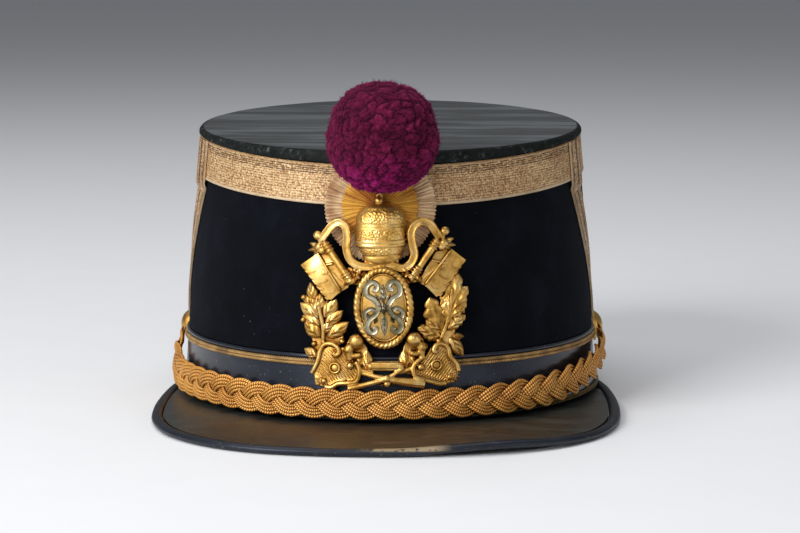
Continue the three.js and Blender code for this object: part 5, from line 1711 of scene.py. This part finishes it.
def scroll_plate(side):
    pieces = [plate("scroll_plate", PLATES[side], 1.5, 0.3)]
    for route in SCROLLS[side]:
        pieces.append(swept("scroll", route, ROUND, 0.85, 60))
    ring, ball, corner = PLATE_RING[side], PLATE_BALL[side], PLATE_CORNER[side]
    pieces += [knob(*ring, 1.4, 1.7, 0.4), knob(*ball, 1.7, 1.35), knob(*corner, 1.8, 1.0)]
    for reach, angle in CORNER_LEAVES:
        turn = math.radians(angle)
        tip = (corner[0] - side * reach * math.cos(turn), corner[1] + 0.62 * reach * math.sin(turn))
        pieces.append(leaf(corner, tip, 1.9, ribs=2))
    return pieces


def hatching(side):
    """Fine ridges cut slantwise across the plate, and its ring, kept sharp after the fusing."""
    way = np.array([0.62, side * 0.78])
    across = np.array([-way[1], way[0]])
    middle = np.array(PLATE_RING[side])
    pieces = []
    for step in range(-10, 11):
        start = middle + across * step * HATCH_PITCH
        meets = crossings(PLATES[side], start, way)
        if len(meets) < 2 or meets[-1] - meets[0] < SHORTEST_HATCH:
            continue
        first, last = start + way * (meets[0] + HATCH_MARGIN), start + way * (meets[-1] - HATCH_MARGIN)
        pieces.append(rod("hatch", (*first, 1.5), (*last, 1.5), 0.27, steps=8))
    pieces.append(ring_of_wire(*PLATE_RING[side], 1.95, 1.75, 0.45))
    return pieces


FOOT_BUD = [(12.0, -13.4, 1.6), (12.9, -16.4, 1.7), (12.9, -19.4, 1.5)]
FOOT_ARM = [(14.6, -14.6, 1.6), (11.8, -17.4, 1.7), (8.6, -17.2, 1.6)]
FOOT_LEAVES = [((7.2, -23.2), (6.6, -15.6), 4.8), ((9.8, -22.4), (9.4, -16.0), 4.0)]
FOOT_LINK = [(9.8, -22.6, 1.5), (7.2, -23.4, 1.5), (4.4, -24.2, 1.5)]
FOOT_GROUND = [(14.4, -13.8), (12.6, -10.4), (8.8, -11.4), (6.6, -14.8), (5.8, -19.0), (4.8, -24.4),
               (10.2, -25.4), (11.6, -19.8)]
STICK = [(-14.3, -29.4, 2.2), (-6.0, -27.6, 2.4), (0.0, -26.0, 2.5), (6.6, -22.2, 2.2)]
HORN = [(14.0, -28.6, 2.0), (6.4, -27.4, 2.1), (0.4, -26.2, 2.2), (-9.0, -23.8, 1.6)]


def foot_pieces(side):
    """The ball, bud and leaves that join the oval to the plate below it."""
    pieces = [knob(side * 10.2, -12.2, 2.2, 2.75, 0.85), knob(side * 13.2, -15.2, 1.7, 1.7)]
    pieces.append(swept("bud", sided(FOOT_BUD, side), ROUND, lambda along: 1.7 - 0.7 * along, 24))
    pieces.append(swept("arm", sided(FOOT_ARM, side), ROUND, 1.1, 24))
    pieces.append(plate("ground", sided(FOOT_GROUND, side), 0.9, 0.2))
    for base, tip, width in FOOT_LEAVES:
        pieces.append(leaf(*sided([base, tip], side), width, steps=40))
    return pieces + [swept("link", sided(FOOT_LINK, side), ROUND, 0.95, 20)]


def middle_foot():
    """The bar under the oval, and the stick and the horn crossed below it."""
    pieces = [rod("bar", (-5.4, -21.4, 1.7), (5.2, -21.8, 1.7), 1.45, 0.9)]
    for level in (-20.3, -22.5):
        pieces.append(rod("bar_edge", (-5.4, level, 2.2), (5.2, level - 0.4, 2.2), 0.48))
    pieces += [knob(-5.4, -21.4, 1.7, 1.4), knob(5.2, -21.8, 1.7, 1.4)]
    pieces.append(swept("stick", STICK, ROUND, lambda along: 1.05 - 0.3 * along, 40))
    pieces.append(swept("horn", HORN, ROUND, lambda along: 1.9 - 1.2 * along, 40))
    pieces += [knob(0.2, -26.0, 2.8, 1.4, 0.8), knob(0.2, -27.9, 2.5, 1.2, 0.8)]
    for end in ((-2.4, -29.3), (3.0, -29.2)):
        pieces.append(leaf((0.2, -26.4), end, 1.8, ribs=2))
    return pieces


# %% [markdown]
# Here everything is put together. The soft forms overlap, so a voxel remesh makes one skin of them,
# and a decimation takes out points that its flat places don't need. The sharp forms are joined to it,
# and the flat badge is then curved to the hat in one step.

# %% Badge
BADGE = {"x": 0.1, "height": 42.8, "lean": math.radians(2.2), "low_back": 1.9, "high_back": 5.2}
# Between these heights it goes out from the band to in front of the cockade
BADGE_STEP = (26.0, 57.0)


def curved_to_hat(points):
    """Leans the flat badge over, stands it clear of the cords and the cockade, and bends it round."""
    u, v, w = points.T
    cos, sin = math.cos(BADGE["lean"]), math.sin(BADGE["lean"])
    x = BADGE["x"] + u * cos - v * sin
    height = BADGE["height"] + u * sin + v * cos
    share = np.clip((height - BADGE_STEP[0]) / (BADGE_STEP[1] - BADGE_STEP[0]), 0, 1)
    share = share * share * (3 - 2 * share)
    back = BADGE["low_back"] + (BADGE["high_back"] - BADGE["low_back"]) * share
    return settled(on_front(x, height, np.maximum(w, 0.0), back))


SHEET_GRAIN, SHEET_KEPT = 0.21, 0.35
WEB = [(4.6, 14.2), (12.4, 15.0), (13.4, 8.8), (8.0, 8.2)]
NECK = [(-6.2, 13.2), (6.0, 13.2), (6.0, 17.6), (-6.2, 17.6)]


def one_sheet(name, pieces):
    """Fuses the flat forms into one skin with soft inner corners, as a die leaves them."""
    piece = joined(name, pieces)
    only(piece)
    fuse = piece.modifiers.new("fuse", "REMESH")
    fuse.mode = "VOXEL"
    fuse.voxel_size = SHEET_GRAIN
    fuse.use_smooth_shade = True
    soften = piece.modifiers.new("soften", "SMOOTH")
    soften.factor, soften.iterations = 0.5, 1
    thin = piece.modifiers.new("thin", "DECIMATE")
    thin.ratio = SHEET_KEPT
    for modifier in ("fuse", "soften", "thin"):
        bpy.ops.object.modifier_apply(modifier=modifier)
    return piece


def stamped_badge():
    """One fused sheet, with the sharp parts joined to it as they are."""
    pieces = domed_cap() + sprays() + middle_foot() + [domed_field()]
    sharp = [rope_oval(), bead_line()] + spray_leaves()
    for side in (-1, 1):
        pieces += gathers(side) + staff(side) + ribbon(side) + scroll_plate(side) + foot_pieces(side)
        pieces.append(plate("web", sided(WEB, side), 1.4))
        sharp += hatching(side) + banner(side)
    pieces.append(plate("neck", NECK, 2.2))
    return move_points(joined("stamped_badge", [one_sheet("sheet", pieces)] + sharp), curved_to_hat)


def silvered_scrolls():
    return move_points(joined("silvered_scrolls", silver_scrolls()), curved_to_hat)


silvered = gilt_brass("silvered brass", "#5e573e", "#938c70", "#c2bca4", "#241c0e", 0.38)
dress(stamped_badge(), gilt, "gilt", "badge")
dress(silvered_scrolls(), silvered, "gilt", "badge")

# %% [markdown]
# Last come a wide pale floor and four soft lights, as in a photographer's studio: a strong one on the
# left, a broad one above, a weak one on the right and another in front.

# %% Floor and light
# Rows of a light's name, its place and its size in metres, and its power in watts
LIGHTS = [
    ("key on the left", (-1.0, -1.1, 0.75), 0.8, 24),
    ("overhead", (-0.2, 0.1, 1.6), 1.5, 12),
    ("fill on the right", (1.3, -1.0, 0.5), 0.7, 2.4),
    ("front", (0.1, -1.9, 1.0), 0.6, 4.6),
]
LIGHTS_AIM = Vector((0, 0, 0.05))
FLOOR_SIZE = 20.0
WORLD_STRENGTH = 0.27


def studio():
    nothing_selected()
    bpy.ops.mesh.primitive_plane_add(size=FLOOR_SIZE, location=(0, 0, 0))
    floor = bpy.context.object
    floor.name = "floor"
    material, tree, shader, place = new_material("pale paper", Roughness=0.9, Specular_IOR_Level=0.2)
    fibres = add(tree, "TexNoise", {"Vector": place, "Scale": 40, "Detail": 3})
    paper = add(tree, "ValToRGB", {"Fac": fibres}, stops=[(0.0, "#eeeff1"), (1.0, "#f1f2f4")])
    wire(tree, shader, Base_Color=paper)
    floor.data.materials.append(material)
    for name, place, size, power in LIGHTS:
        light = bpy.data.objects.new(name, bpy.data.lights.new(name, "AREA"))
        light.data.energy = power
        light.data.size = size
        light.location = place
        aim = LIGHTS_AIM - Vector(place)
        light.rotation_euler = aim.to_track_quat("-Z", "Y").to_euler()
        bpy.context.scene.collection.objects.link(light)
    world = bpy.data.worlds.new("studio")
    world.use_nodes = True
    background = world.node_tree.nodes["Background"]
    background.inputs["Color"].default_value = colour("#c9ccd2")
    background.inputs["Strength"].default_value = WORLD_STRENGTH
    bpy.context.scene.world = world
    # Plain sRGB, so that a colour on the hat reads as it was written
    bpy.context.scene.view_settings.view_transform = "Standard"
    print("lights:", [row[0] for row in LIGHTS])


studio()
